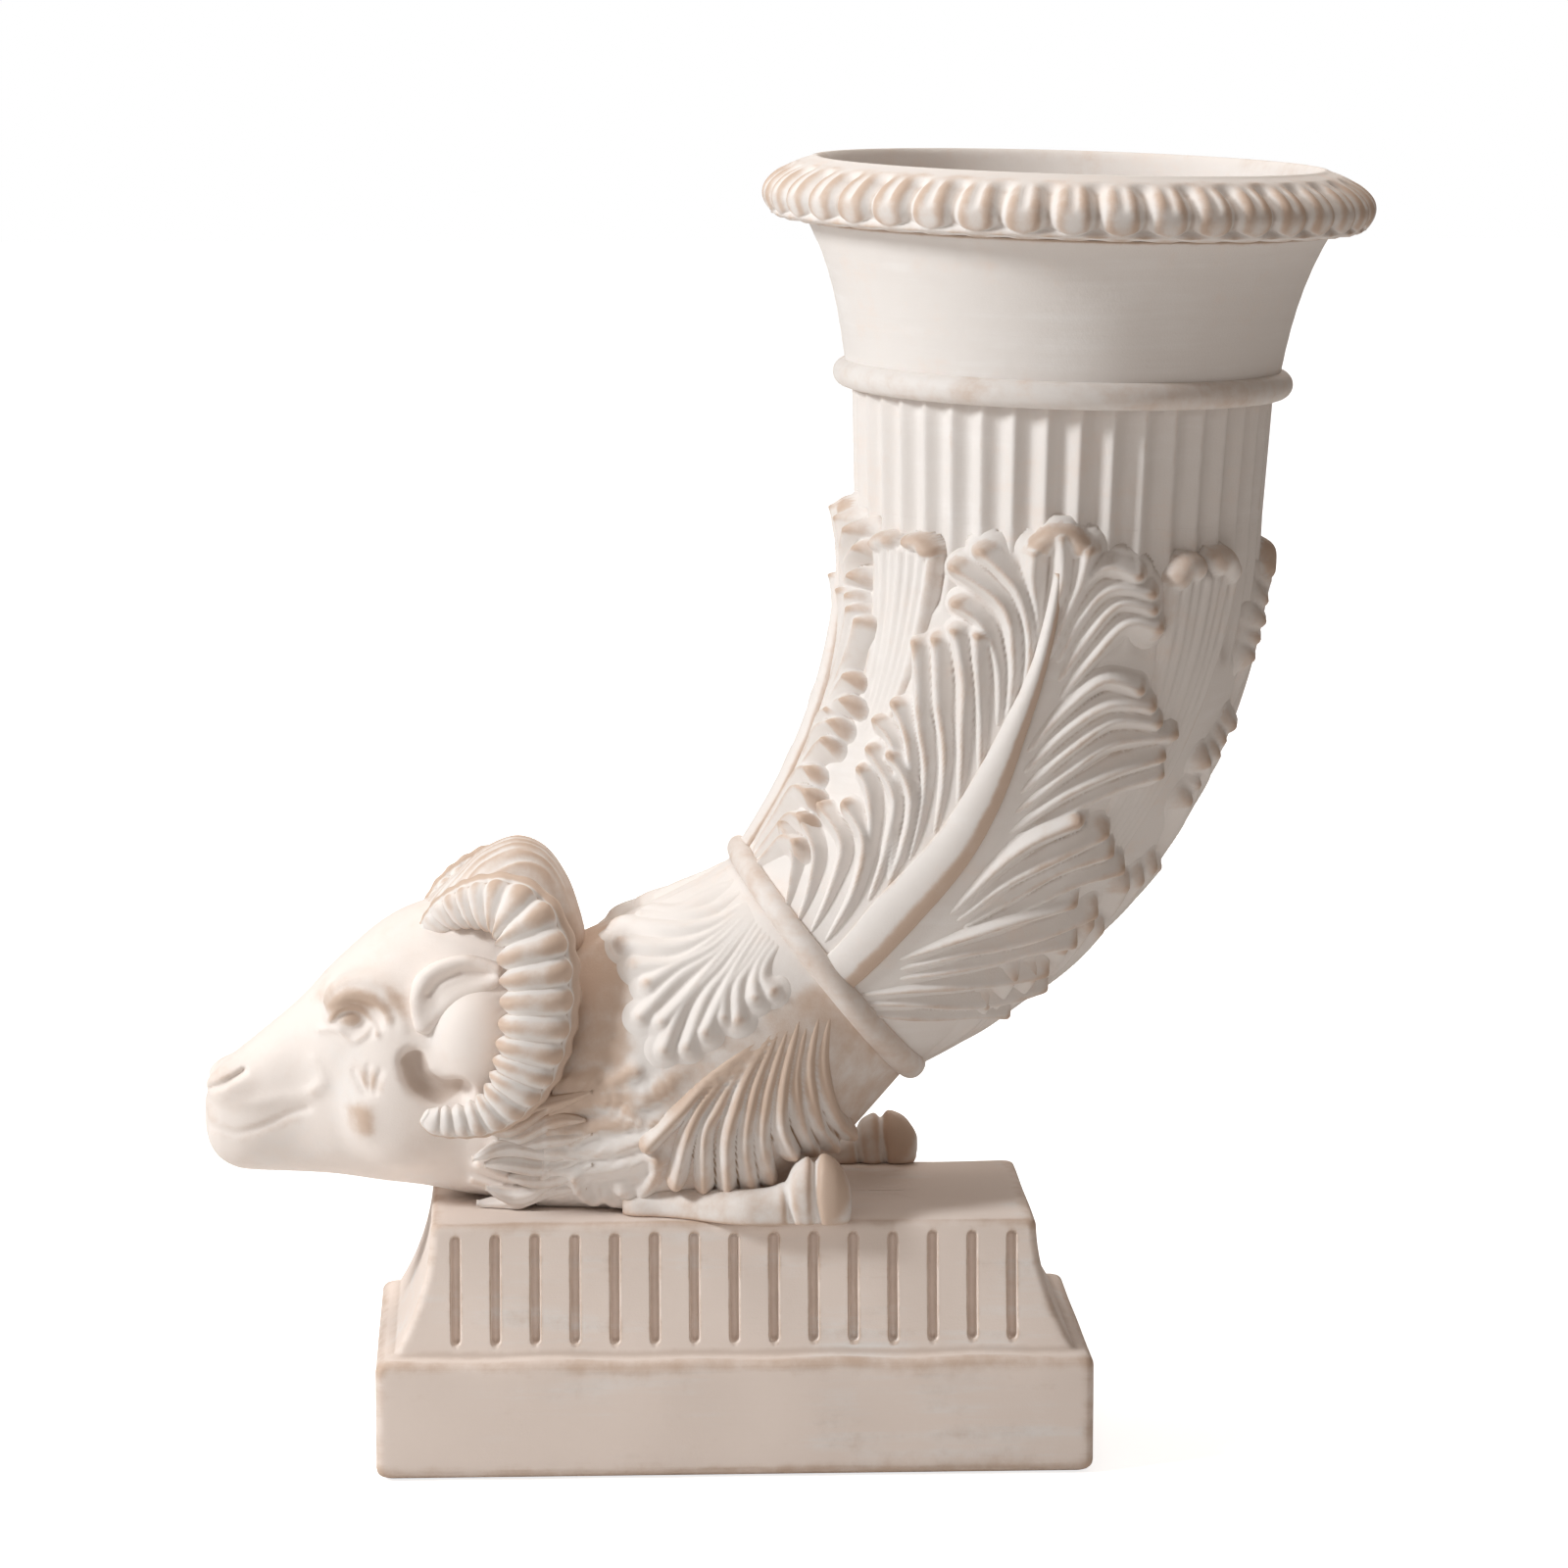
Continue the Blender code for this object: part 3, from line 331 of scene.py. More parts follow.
def make_plinth():
    centres = (np.arange(SLOT_COUNT) - (SLOT_COUNT - 1) / 2) * SLOT_PITCH
    along = np.concatenate([(centres[:, None] + SLOT_COLUMNS).ravel(), centres + SLOT_PITCH / 2,
                            [1 - BLOCK_LENGTH / 2]])
    along = np.sort(along) / (BLOCK_LENGTH / 2 - CORNER_ROUND)
    end_columns = np.linspace(FLARE_FROM + 0.003, 1, 9)
    along = np.concatenate([-end_columns[::-1], along[np.abs(along) < FLARE_FROM], end_columns])
    across = np.linspace(-1, 1, 60)

    slab = (SLAB_LENGTH / 2, SLAB_DEPTH / 2)
    block = (BLOCK_LENGTH / 2, BLOCK_DEPTH / 2)
    hollow = (slab[0] - PLINTH_WALL, slab[1] - PLINTH_WALL)
    inner_rows = [(block[0] - PLINTH_WALL, block[1] - PLINTH_WALL, PLINTH_HEIGHT - PLINTH_WALL),
                  (*hollow, SLAB_HEIGHT - PLINTH_WALL), (*hollow, 0)]
    foot_rows = [(length, depth, -drop) for length, depth, drop in round_rows(*slab, 0, SLAB_ROUND, 6)[::-1]]
    slab_rows = [(*slab, height) for height in np.linspace(SLAB_ROUND + 2, SLAB_HEIGHT - SLAB_ROUND - 2, 14)]
    slot_foot = SLAB_HEIGHT + SLOT_MARGIN
    slot_top = PLINTH_HEIGHT - SLOT_MARGIN
    block_top = PLINTH_HEIGHT - BLOCK_ROUND
    heights = np.sort(np.concatenate([np.linspace(SLAB_HEIGHT + 0.8, block_top, 26),
                                      slot_foot + SLOT_ROWS, slot_top + SLOT_ROWS]))
    profile = [*inner_rows, *foot_rows, *slab_rows, *round_rows(*slab, SLAB_HEIGHT, SLAB_ROUND, 6),
               *(block_row(height) for height in heights if height < block_top + 0.01),
               *round_rows(*block, PLINTH_HEIGHT, BLOCK_ROUND, 5)[1:],
               *((block[0] - inset, block[1] - inset, PLINTH_HEIGHT) for inset in TOP_INSETS)]

    rings = np.array([plinth_ring(*row, along, across) for row in profile])
    x, y, z = np.moveaxis(rings, -1, 0)
    from_slot = np.abs(x[..., None] - PLINTH_X - centres).min(-1)
    cap = np.maximum(np.maximum(slot_foot - z, z - slot_top), 0)
    inside = SLOT_HALF_WIDTH - np.hypot(from_slot, cap)
    on_face = (z > SLAB_HEIGHT + 0.5) & (z < block_top) & (np.abs(y) > BLOCK_DEPTH / 2 - 2.5)
    y -= np.sign(y) * SLOT_DEPTH * ease((inside + 0.2) / 0.6) * on_face
    shown = (np.arange(len(profile)) >= len(inner_rows))[:, None]
    y += np.sign(y) * HAND_WOBBLE * wobble(rings, 45) * shown * (z > 1)
    z += HAND_WOBBLE * wobble(rings[..., [1, 0, 2]], 60) * (z > 4) * shown
    clay = aged_clay("brushed_plinth_wash", 0.06, (9, 60, 240), 1.1, 0.35, PEACH, CHALK)
    lay_piece("cast_plinth", [tube_shell(rings)], clay, "plinth", calm=clean_top)


make_plinth()

# Ram chest. The fore part of a lying ram, press-moulded hollow and luted on the plinth. Its fleece is
# modelled in long locks on the breast and in small curls at the foot; the neck is left brown.
# The flank below the neck leaf carries a painted shadow of that leaf, rubbed to tan.
BAND_CENTRE = np.array([12.3, 0, 151.9])
BAND_PITCH = math.radians(38.2)
BAND_AXIS = np.array([math.cos(BAND_PITCH), 0, math.sin(BAND_PITCH)])
HORN_FOOT_RADIUS = 42.5
LUTE_GAP = 0.3
NECK_JOINT_TOP = (-68, 157.5)
NECK_JOINT_FOOT = (-80, 73)
NECK_JOINT_HALF_WIDTH = 33
CHEST_HALF_WIDTH = 45
CHEST_FLOOR = PLINTH_HEIGHT + LUTE_GAP
CHEST_DROPS = ((0.20, 0.22, 0.62, 1), (0.42, 0.42, 1, 1), (0.62, 0.64, 1, 0.97), (0.82, 0.84, 1, 0.88))
CHEST_END = 5.12
FLEECE_LOCKS = (
    ((-25, 126.5), (-36, 122), (-45.5, 115.5), (-49.5, 112.5), (-47, 110)),
    ((-32, 123.5), (-42.5, 118), (-52, 116.5), (-66, 115.5), (-76, 113)),
    ((-40, 108.5), (-52, 108), (-61, 106.5), (-67, 100), (-63.5, 98.5), (-56, 99.5)),
    ((-42, 105.5), (-49.5, 101.5), (-56.5, 99.5)),
    ((-76, 104), (-67.5, 105), (-60, 106.5)),
    ((-42.5, 98.5), (-52, 94.5), (-63.5, 92.5), (-73, 91.5)),
    ((-68, 112.5), (-76, 109.5)),
    ((-60, 122), (-67.5, 120.5), (-76, 118)),
    ((-48, 124.5), (-60, 118.5), (-71, 117)))
FLEECE_CURLS = (
    ((-66, 90), (-64.5, 84.5), (-60.5, 81.5), (-57.5, 84)),
    ((-57.5, 84), (-55, 81.5), (-51, 80.5), (-49.5, 84), (-52, 85.5)),
    ((-41, 97), (-42.5, 90), (-46.5, 84), (-49.5, 80.5)))
THROAT_CURLS = (
    ((-96, 92), (-88, 88.5), (-80, 87), (-75.5, 90.5), (-78, 93)),
    ((-98, 86), (-90, 83.5), (-82, 82), (-76, 84), (-70, 83)),
    ((-90, 98), (-82, 96), (-74, 98), (-66, 97)))
THROAT_LOCKS = 9
THROAT_LOCK_PITCH = 3.9
THROAT_LOCK_RADIUS = 3.3
THROAT_LOCK_ROOT = -63
THROAT_LOCK_LENGTH = 30
NECK_BROWN = 0.66
FLANK_SHADOW = 0.45
SCRATCH_DEPTH = 0.16


def through(rows, u):
    """Points on a smooth curve through the rows, at row numbers u."""
    rows = np.asarray(rows, float)
    u = np.asarray(u, float)
    k = np.clip(np.floor(u).astype(int), 0, len(rows) - 2)
    t = (u - k)[..., None]
    before, here, ahead = rows[np.maximum(k - 1, 0)], rows[k], rows[k + 1]
    after = rows[np.minimum(k + 2, len(rows) - 1)]
    return 0.5 * (2 * here + (ahead - before) * t + (2 * before - 5 * here + 4 * ahead - after) * t ** 2
                  + (3 * here - before - 3 * ahead + after) * t ** 3)


def chest_rows():
    """Cross-sections from the band to the head: top x, top z, foot x, foot z and half width."""
    foot = BAND_CENTRE - BAND_AXIS * LUTE_GAP
    up = np.array([-BAND_AXIS[2], 0, BAND_AXIS[0]]) * HORN_FOOT_RADIUS
    top = foot + up
    low = foot - up
    rows = [(top[0], top[2], low[0], low[2], HORN_FOOT_RADIUS)]
    for along, foot_along, fall, spread in CHEST_DROPS:
        rows.append((top[0] + (NECK_JOINT_TOP[0] - top[0]) * along,
                     top[2] + (NECK_JOINT_TOP[1] - top[2]) * along ** 0.8,
                     low[0] + (NECK_JOINT_FOOT[0] - low[0]) * foot_along,
                     low[2] + (NECK_JOINT_FOOT[1] - low[2]) * fall,
                     CHEST_HALF_WIDTH * spread))
    rows.append((*NECK_JOINT_TOP, *NECK_JOINT_FOOT, NECK_JOINT_HALF_WIDTH))
    return rows


def squared(value, power):
    """A sine or cosine drawn out towards a square section."""
    return np.sign(value) * np.abs(value) ** power


def chest_point(u, angle):
    """A point of the chest: u counts cross-sections from the band, angle 0 is the front, 90 the foot."""
    u, angle = np.broadcast_arrays(np.asarray(u, float), angle)
    top_x, top_z, foot_x, foot_z, half_width = np.moveaxis(through(chest_rows(), u), -1, 0)
    power = 2 / (2 + 0.5 * ease(u / 2))
    across = squared(np.cos(angle), power) * half_width
    drop = squared(np.sin(angle), power) / 2
    x = (top_x + foot_x) / 2 + (foot_x - top_x) * drop
    z = (top_z + foot_z) / 2 + (foot_z - top_z) * drop
    return np.stack([x, -across, np.maximum(z, CHEST_FLOOR)], -1)


def along_stroke(x, z, stroke):
    """Distance in side view from a stroke drawn smoothly through a few points, and the share run along it."""
    line = through(stroke, np.linspace(0, len(stroke) - 1, 6 * len(stroke) - 5))
    nearest = np.full(np.broadcast(x, z).shape, np.inf)
    run = np.zeros(nearest.shape)
    for k, ((x0, z0), (x1, z1)) in enumerate(zip(line[:-1], line[1:])):
        run_x = x1 - x0
        run_z = z1 - z0
        share = np.clip(((x - x0) * run_x + (z - z0) * run_z) / (run_x ** 2 + run_z ** 2), 0, 1)
        gap = np.hypot(x - x0 - share * run_x, z - z0 - share * run_z)
        run = np.where(gap < nearest, (k + share) / (len(line) - 1), run)
        nearest = np.minimum(nearest, gap)
    return nearest, run


def from_stroke(x, z, stroke):
    return along_stroke(x, z, stroke)[0]


def relief(x, z, strokes, height, half_width):
    """Height of modelled strokes in side view; a negative height cuts grooves."""
    rise = 0
    for stroke in strokes:
        rise = np.maximum(rise, np.exp(-(from_stroke(x, z, stroke) / half_width) ** 2))
    return height * rise


def grid_normals(points):
    """Outward normals of a grid of points that is closed along its rows."""
    along = np.gradient(points, axis=0)
    across = np.roll(points, -1, axis=1) - np.roll(points, 1, axis=1)
    normals = np.cross(along, across)
    return normals / np.maximum(np.linalg.norm(normals, axis=-1, keepdims=True), 1e-6)


def brown_neck_and_flank_shadow(points):
    """Where the neck between horn and leaf is left brown, and where a painted shadow of the neck leaf darkens
    the flank below it, from 0 to 1.
    """
    x, _, z = points.T
    neck = NECK_BROWN * ease((-43 - x) / 9) * window(z, 98, 16, 168, 8)
    # Painted shadow: the flank below the neck leaf's lower edge is darkened to tan as that leaf's cast
    # shadow.
    neck_leaf_shadow = FLANK_SHADOW * ease((131 + 0.58 * (x + 39) - z) / 10) * ease((x + 50) / 12)
    return np.maximum(neck, neck_leaf_shadow)


def fleece_strands(x, z):
    """Fine scratched wool, following the fall of the locks."""
    along = 0.83 * x + 0.55 * z
    across = -0.55 * x + 0.83 * z + 1.6 * np.sin(along / 7) + 0.9 * np.sin(along / 3.1 + z / 5)
    return np.sin(across * math.tau / 3.1) + 0.6 * np.sin(across * math.tau / 1.9 + 1.7)


def lock_shell(order, flank):
    """One lock of wool that lies over the joint of chest and head, the lowest first."""
    t = np.linspace(0, 1, 34)
    foot = CHEST_FLOOR + 2.6 + THROAT_LOCK_PITCH * order
    bend = math.sin(2.1 * order)
    x = THROAT_LOCK_ROOT - 2 * bend - (THROAT_LOCK_LENGTH + 4 * math.cos(1.7 * order)) * t
    z = foot + 6 * (1 - t) ** 2 + (1.8 + 1.2 * bend) * np.sin(t * math.tau * 0.9 + order)
    share = np.clip(np.abs(z - (NECK_JOINT_TOP[1] + NECK_JOINT_FOOT[1]) / 2) / 42.3, 0, 0.97)
    wide = (NECK_JOINT_HALF_WIDTH + 0.55 * np.maximum(x + 76, 0)) * (1 - share ** 2.5) ** 0.4
    radius = THROAT_LOCK_RADIUS * np.sin(math.pi * np.clip(t, 0.03, 0.97)) ** 0.6 * (0.8 + 0.35 * t)
    turn = turns(24)
    reach = radius[:, None] * (1 + 0.10 * np.cos(7 * turn))
    y = flank * (wide[:, None] - 0.5 + 0.8 * reach * np.cos(turn))
    height = np.maximum(z[:, None] + reach * np.sin(turn), CHEST_FLOOR)
    return tube_shell(np.stack([x[:, None] + 0 * turn, y, height], -1))


FLEECE_CLAY = aged_clay("fleece_wash", 0.10, (90, 60, 60), 0.5, 0.55)


def make_ram_chest():
    turn = turns(290)
    u = np.linspace(0, CHEST_END, 156)[:, None]
    points = chest_point(u, turn)
    normals = grid_normals(points)
    x, _, z = np.moveaxis(points, -1, 0)
    side = np.abs(normals[..., 1]) ** 0.7
    free = ease((z - CHEST_FLOOR) / 3) * ease((-28 - x) / 12)
    locks = relief(x, z, (*FLEECE_LOCKS, *THROAT_CURLS), 2, 2.6)
    curls = relief(x, z, FLEECE_CURLS, 3.2, 2.3)
    strands = SCRATCH_DEPTH * fleece_strands(x, z) * ease((132 - z) / 14)
    dive = 3 * ease((u - CHEST_END + 0.26) / 0.26)
    points = points + normals * ((locks + curls + strands) * side * free - dive)[..., None]
    points[..., 2] = np.maximum(points[..., 2], CHEST_FLOOR)
    locks = [lock_shell(order, flank) for order in range(THROAT_LOCKS) for flank in (-1, 1)]
    lay_piece("fleeced_ram_chest", [tube_shell(points), *locks], FLEECE_CLAY, "ram_chest",
              full_wear=1.8, stain=brown_neck_and_flank_shadow)


make_ram_chest()

# Forelegs. The two folded legs lie along the plinth's top edge with their cloven hooves turned back;
# the toes are rubbed to tan. Each is modelled solid and luted to the chest.
LEG_Y = 43
LEG_TUCK = 12
LEG_VOXEL = 0.55
LEG_ROWS = ((-52, 82, 77.5, 1.5), (-48, 84, 75, 4.5), (-34, 85.5, 74.5, 5.6), (-18, 87, 74, 6.4),
            (-5, 88.5, 74, 7), (0, 94.5, 74, 8), (7, 98.5, 73, 8.6), (13, 96.5, 73, 8.2),
            (16.6, 91, 75, 5.6), (18, 86, 80, 1.5))
HOOF_CLEFTS = (((-1.5, 99), (-2.1, 88), (-0.9, 78)), ((7, 101), (6.2, 88), (7.2, 77.5)))
HOOF_TOE = (11, 88)
TOE_TAN = 0.9
FAR_LEG_SHIFT = 26
FAR_LEG_HEIGHT_SHARE = 0.8


def swelled(x, y, z, rows, square=2.3):
    """Field of a form from side-view rows of x, top, foot and half width; below zero inside."""
    line = through(rows, np.linspace(0, len(rows) - 1, 20 * len(rows)))
    top, foot, half = (np.interp(x, line[:, 0], line[:, k]) for k in (1, 2, 3))
    tall = np.maximum((top - foot) / 2, 0.4)
    half = np.maximum(half, 0.4)
    out = (np.abs((z - (top + foot) / 2) / tall) ** square + np.abs(y / half) ** square) ** (1 / square)
    depth = (out - 1) * np.minimum(tall, half)
    return np.maximum(depth, np.maximum(rows[0][0] - x, x - rows[-1][0]))


def carved_shell(field, low, high, voxel):
    """Skin of a field of x, y and z in millimetres, as quads."""
    axes = [np.arange(low[k], high[k], voxel, dtype=np.float32) for k in range(3)]
    values = field(*np.meshgrid(*axes, indexing="ij", sparse=True))
    grid = openvdb.FloatGrid(3.0)
    grid.copyFromArray(np.ascontiguousarray(np.clip(values, -3, 3), dtype=np.float32))
    points, quads = grid.convertToQuads(0.0)
    return points.astype(float) * voxel + np.array(low), quads.astype(int)


def make_foreleg(name, side, shift, height_share):
    """One leg of a flank, set back along the plinth by a shift and lowered to a share of its height."""
    rows = [(x, foot + (top - foot) * height_share, foot, half) for x, top, foot, half in LEG_ROWS]

    def field(x, y, z):
        hoof = ease((x - shift + 6) / 6)
        tuck = LEG_TUCK * ease((shift - 12 - x) / 32)
        depth = swelled(x - shift, y - side * (LEG_Y - tuck), z, rows)
        clefts = relief(x - shift, z, HOOF_CLEFTS, -2, 1.4) * hoof
        return np.maximum(depth - clefts, CHEST_FLOOR - z)

    def toe(points):
        from_toe = np.hypot(points[:, 0] - shift - HOOF_TOE[0], (points[:, 2] - HOOF_TOE[1]) * 0.6)
        return TOE_TAN * ease((8 - from_toe) / 5)

    middle = side * (LEG_Y - LEG_TUCK / 2)
    low = (LEG_ROWS[0][0] + shift - 2, middle - 17, CHEST_FLOOR - 2)
    high = (LEG_ROWS[-1][0] + shift + 2, middle + 17, 104)
    lay_piece("folded_foreleg_" + name, [carved_shell(field, low, high, LEG_VOXEL)], FLEECE_CLAY,
              "foreleg_" + name, stain=toe)


make_foreleg("left", -1, 0, 1)
make_foreleg("right", 1, FAR_LEG_SHIFT, FAR_LEG_HEIGHT_SHARE)

# Ram head. A press-moulding luted to the neck: a long wedge of a face with a lidded eye under a curled
# brow, a slit nostril, a closed mouth and a deep hollow between cheek and horn.
HEAD_VOXEL = 0.65
HEAD_BOX = ((-184, -40, 75), (-64, 40, 178))
HEAD_ROWS = ((-181.3, 108, 100, 1.5), (-180, 112.5, 94.5, 8), (-177, 118, 90, 11.5),
             (-172, 123, 87, 14), (-166, 127.8, 86, 15.5), (-152, 139.5, 85.3, 17),
             (-140, 152, 84.5, 22), (-126, 164, 82.5, 27.5), (-114, 170, 81, 29),
             (-100, 173, 78.5, 31), (-84, 167.5, 77, 32), (-66, 154.5, 76, 31))
BROW_SWELL = ((-130, 19.5, 143), (13, 6.5, 8.5), 5)
CHEEK_SWELL = ((-119, 21, 111), (16, 9.5, 19), 8)
NOSE_SWELL = ((-172.5, 8.5, 114.5), (8, 6, 5.5), 5)
TEMPLE_SWELL = ((-97, 27.5, 131), (12, 9.5, 17), 4)
EYE_SOCKET = ((-133.5, 26.6, 138), (8.6, 4.6, 5.4))
EYE = ((-135, 19.6, 137.2), (5, 4, 3.8))
EYE_LIDS = (((-142, 136.5), (-138.5, 140.6), (-133.5, 141.2), (-129, 137.6), (-127, 133.5)),
            ((-145, 133.4), (-139.5, 133.8), (-135.2, 130.9), (-131, 133), (-128.2, 136.6)))
BROW_CURLS = (((-144.4, 142.6), (-139.6, 148.6), (-133, 151), (-125, 148.6), (-119.6, 141.5), (-118.8, 136)),
              ((-141.2, 141.8), (-135.5, 146), (-128.3, 144.6), (-123.5, 138.5)))
MOUTH_LINE = (((-180, 101.5), (-176.6, 101), (-170.2, 100.2), (-162, 102.8), (-155.7, 106), (-149, 108.5)),)
LIP_RIDGE = (((-176, 111.5), (-168.5, 109.4), (-158.9, 111.5), (-148.6, 113.4), (-144, 116.5)),)
NOSTRIL = (((-178.6, 114), (-174.5, 115.8), (-168.5, 119.4)),)
CHEEK_WRINKLES = (((-134, 121.5), (-130.8, 115.8)), ((-129.6, 123.6), (-129.6, 115.6)),
                  ((-126, 122.5), (-127.8, 115.8)))
CHEEK_PAD = (((-131.6, 108.5), (-131.4, 105)),)
MUZZLE_EDGE = (((-147, 124), (-144.6, 119), (-147.2, 114.5)),)
FACE_MARKS = ((EYE_LIDS, 0.9, 1.1), (BROW_CURLS, 0.6, 2.2), (MOUTH_LINE, -0.8, 1.4), (LIP_RIDGE, 0.7, 2.4),
              (NOSTRIL, -1.5, 1), (CHEEK_WRINKLES, -0.7, 1.1), (CHEEK_PAD, 1.1, 4.2),
              (THROAT_CURLS, 2.2, 2), (MUZZLE_EDGE, 0.6, 2))
CHEEK_HOLLOW = ((-116, 125.5), (-113.8, 120), (-108.5, 116), (-102.5, 115.6))
CHEEK_HOLLOW_Y = 36
CHEEK_HOLLOW_HALF = 5.6
CHEEK_HOLLOW_DEPTH = 11
NOSE_TIP = (-173.5, 119.5)
LIP_TIP = (-179, 105.5)
BROW_RUB = (1.4, (-133, 142.5), 11, 7)
TEMPLE_RUB = (1, (-123.5, 143), 6.5, 6.5)
WRINKLE_RUB = (0.7, (-129.5, 119.5), 4.5, 4.5)
HOLLOW_SHADE_MIDDLE = (-111.5, 120)


def boss(x, y, z, centre, radii):
    """Field of an ellipsoid."""
    place = [value - middle for value, middle in zip((x, y, z), centre)]
    near = np.sqrt(sum((value / radius) ** 2 for value, radius in zip(place, radii)))
    steep = np.sqrt(sum((value / radius ** 2) ** 2 for value, radius in zip(place, radii)))
    return near * (near - 1) / np.maximum(steep, 1e-4)


def melded(first, second, soft):
    """Two fields joined with a fillet."""
    share = np.clip(0.5 + 0.5 * (second - first) / soft, 0, 1)
    return second + (first - second) * share - soft * share * (1 - share)


def hollowed(body, tool, soft):
    return -melded(-body, tool, soft)


def head_field(x, y, z):
    y = np.abs(y)
    head = swelled(x, y, z, HEAD_ROWS, 2.2 + 0.3 * ease((x + 110) / 25))
    for centre, radii, soft in (BROW_SWELL, CHEEK_SWELL, NOSE_SWELL, TEMPLE_SWELL):
        head = melded(head, boss(x, y, z, centre, radii), soft)
    head = hollowed(head, boss(x, y, z, *EYE_SOCKET), 3)
    head = melded(head, boss(x, y, z, *EYE), 0.6)
    deep = (y - CHEEK_HOLLOW_Y) * CHEEK_HOLLOW_HALF / CHEEK_HOLLOW_DEPTH
    head = hollowed(head, np.hypot(from_stroke(x, z, CHEEK_HOLLOW), deep) - CHEEK_HOLLOW_HALF, 2)
    marks = sum(relief(x, z, *mark) for mark in FACE_MARKS)
    fleece = 0.2 * fleece_strands(x, z) * ease((x + 94) / 10)
    head = head - (marks + fleece) * ease((y - 4) / 5)
    top_x, top_z = NECK_JOINT_TOP
    foot_x, foot_z = NECK_JOINT_FOOT
    joint = (x - foot_x) - (z - foot_z) * (top_x - foot_x) / (top_z - foot_z)
    return np.maximum(np.maximum(head, joint), CHEST_FLOOR + LUTE_GAP - z)


def spot(x, z, middle, half_x, half_z):
    """A soft patch in side view, 1 at its middle."""
    return np.exp(-((x - middle[0]) / half_x) ** 2 - ((z - middle[1]) / half_z) ** 2)


def face_rubbing_and_hollow_shade(points):
    """Extra rubbing on the nose, brow, lips and cheek pad, and painted shade in the hollow behind the cheek.
    """
    x, y, z = points.T
    nose = 0.3 * ease((8 - np.hypot(x - NOSE_TIP[0], (z - NOSE_TIP[1]) * 1.5)) / 5)
    lip = 0.48 * ease((6 - np.hypot((x - LIP_TIP[0]) * 1.4, z - LIP_TIP[1])) / 4)
    spots = [share * spot(x, z, *place) for share, *place in (BROW_RUB, TEMPLE_RUB, WRINKLE_RUB)]
    strokes = [relief(x, z, *stroke) for stroke in ((CHEEK_PAD, 1, 4.6), (MOUTH_LINE, 0.45, 2.4))]
    # Painted shade: the deep hollow between cheek and horn is darkened with umber.
    from_hollow_shade = np.hypot(x - HOLLOW_SHADE_MIDDLE[0], (z - HOLLOW_SHADE_MIDDLE[1]) * 1.2)
    dust_and_shade = ease((31 - np.abs(y)) / 4) * ease((12 - from_hollow_shade) / 2)
    return 0.85 * np.maximum.reduce([nose, lip, *spots, *strokes]) - 0.8 * dust_and_shade


FACE_CLAY = aged_clay("smoothed_face_wash", -0.06, (60, 60, 60), 0.4, 0.5, PALE_PEACH, CHALK)
HEAD_SHELL = carved_shell(head_field, *HEAD_BOX, HEAD_VOXEL)
lay_piece("moulded_ram_head", [HEAD_SHELL], FACE_CLAY, "ram_head", full_wear=1.1,
          stain=face_rubbing_and_hollow_shade)

# Curled horns. Each is a rolled, ribbed coil bent into a hook round the ear and luted to the head,
# with close ribs at the root, broad ones down the back and a thin wavy keel along its outer edge.
CURL_ROWS = ((-111.5, 12.5, 162, 3.6), (-105, 18.5, 169.4, 5.6), (-96, 24.5, 173.4, 7.8),
             (-86.8, 31, 173.6, 9.6), (-80.8, 35, 168, 11), (-78.4, 37.5, 158.8, 11.8),
             (-77.6, 39, 149.2, 11.8), (-78.6, 40, 138.2, 11.4), (-81.4, 40.5, 127, 10.4),
             (-86.4, 41, 117.6, 8.4), (-93.6, 41, 111.4, 6.4), (-101.5, 41, 109.4, 5.2),
             (-108.8, 41, 109.6, 4.4), (-112.6, 41, 111.8, 2.6))
CURL_RIBS = (0, 2.4, 4.8, 6.9, 8.5, 9.8, 11.1, 12.5, 14.1, 15.9, 17.7, 19.5, 21.3, 22.4)
CURL_RIB_SHARE = 0.20
CURL_DEPTH_SHARE = 0.82
CURL_SQUARE = 2 / 2.6
KEEL_SHARE = 0.11
SIDES = (("left", -1), ("right", 1))


def unit(vectors):
    return vectors / np.linalg.norm(vectors, axis=-1, keepdims=True)


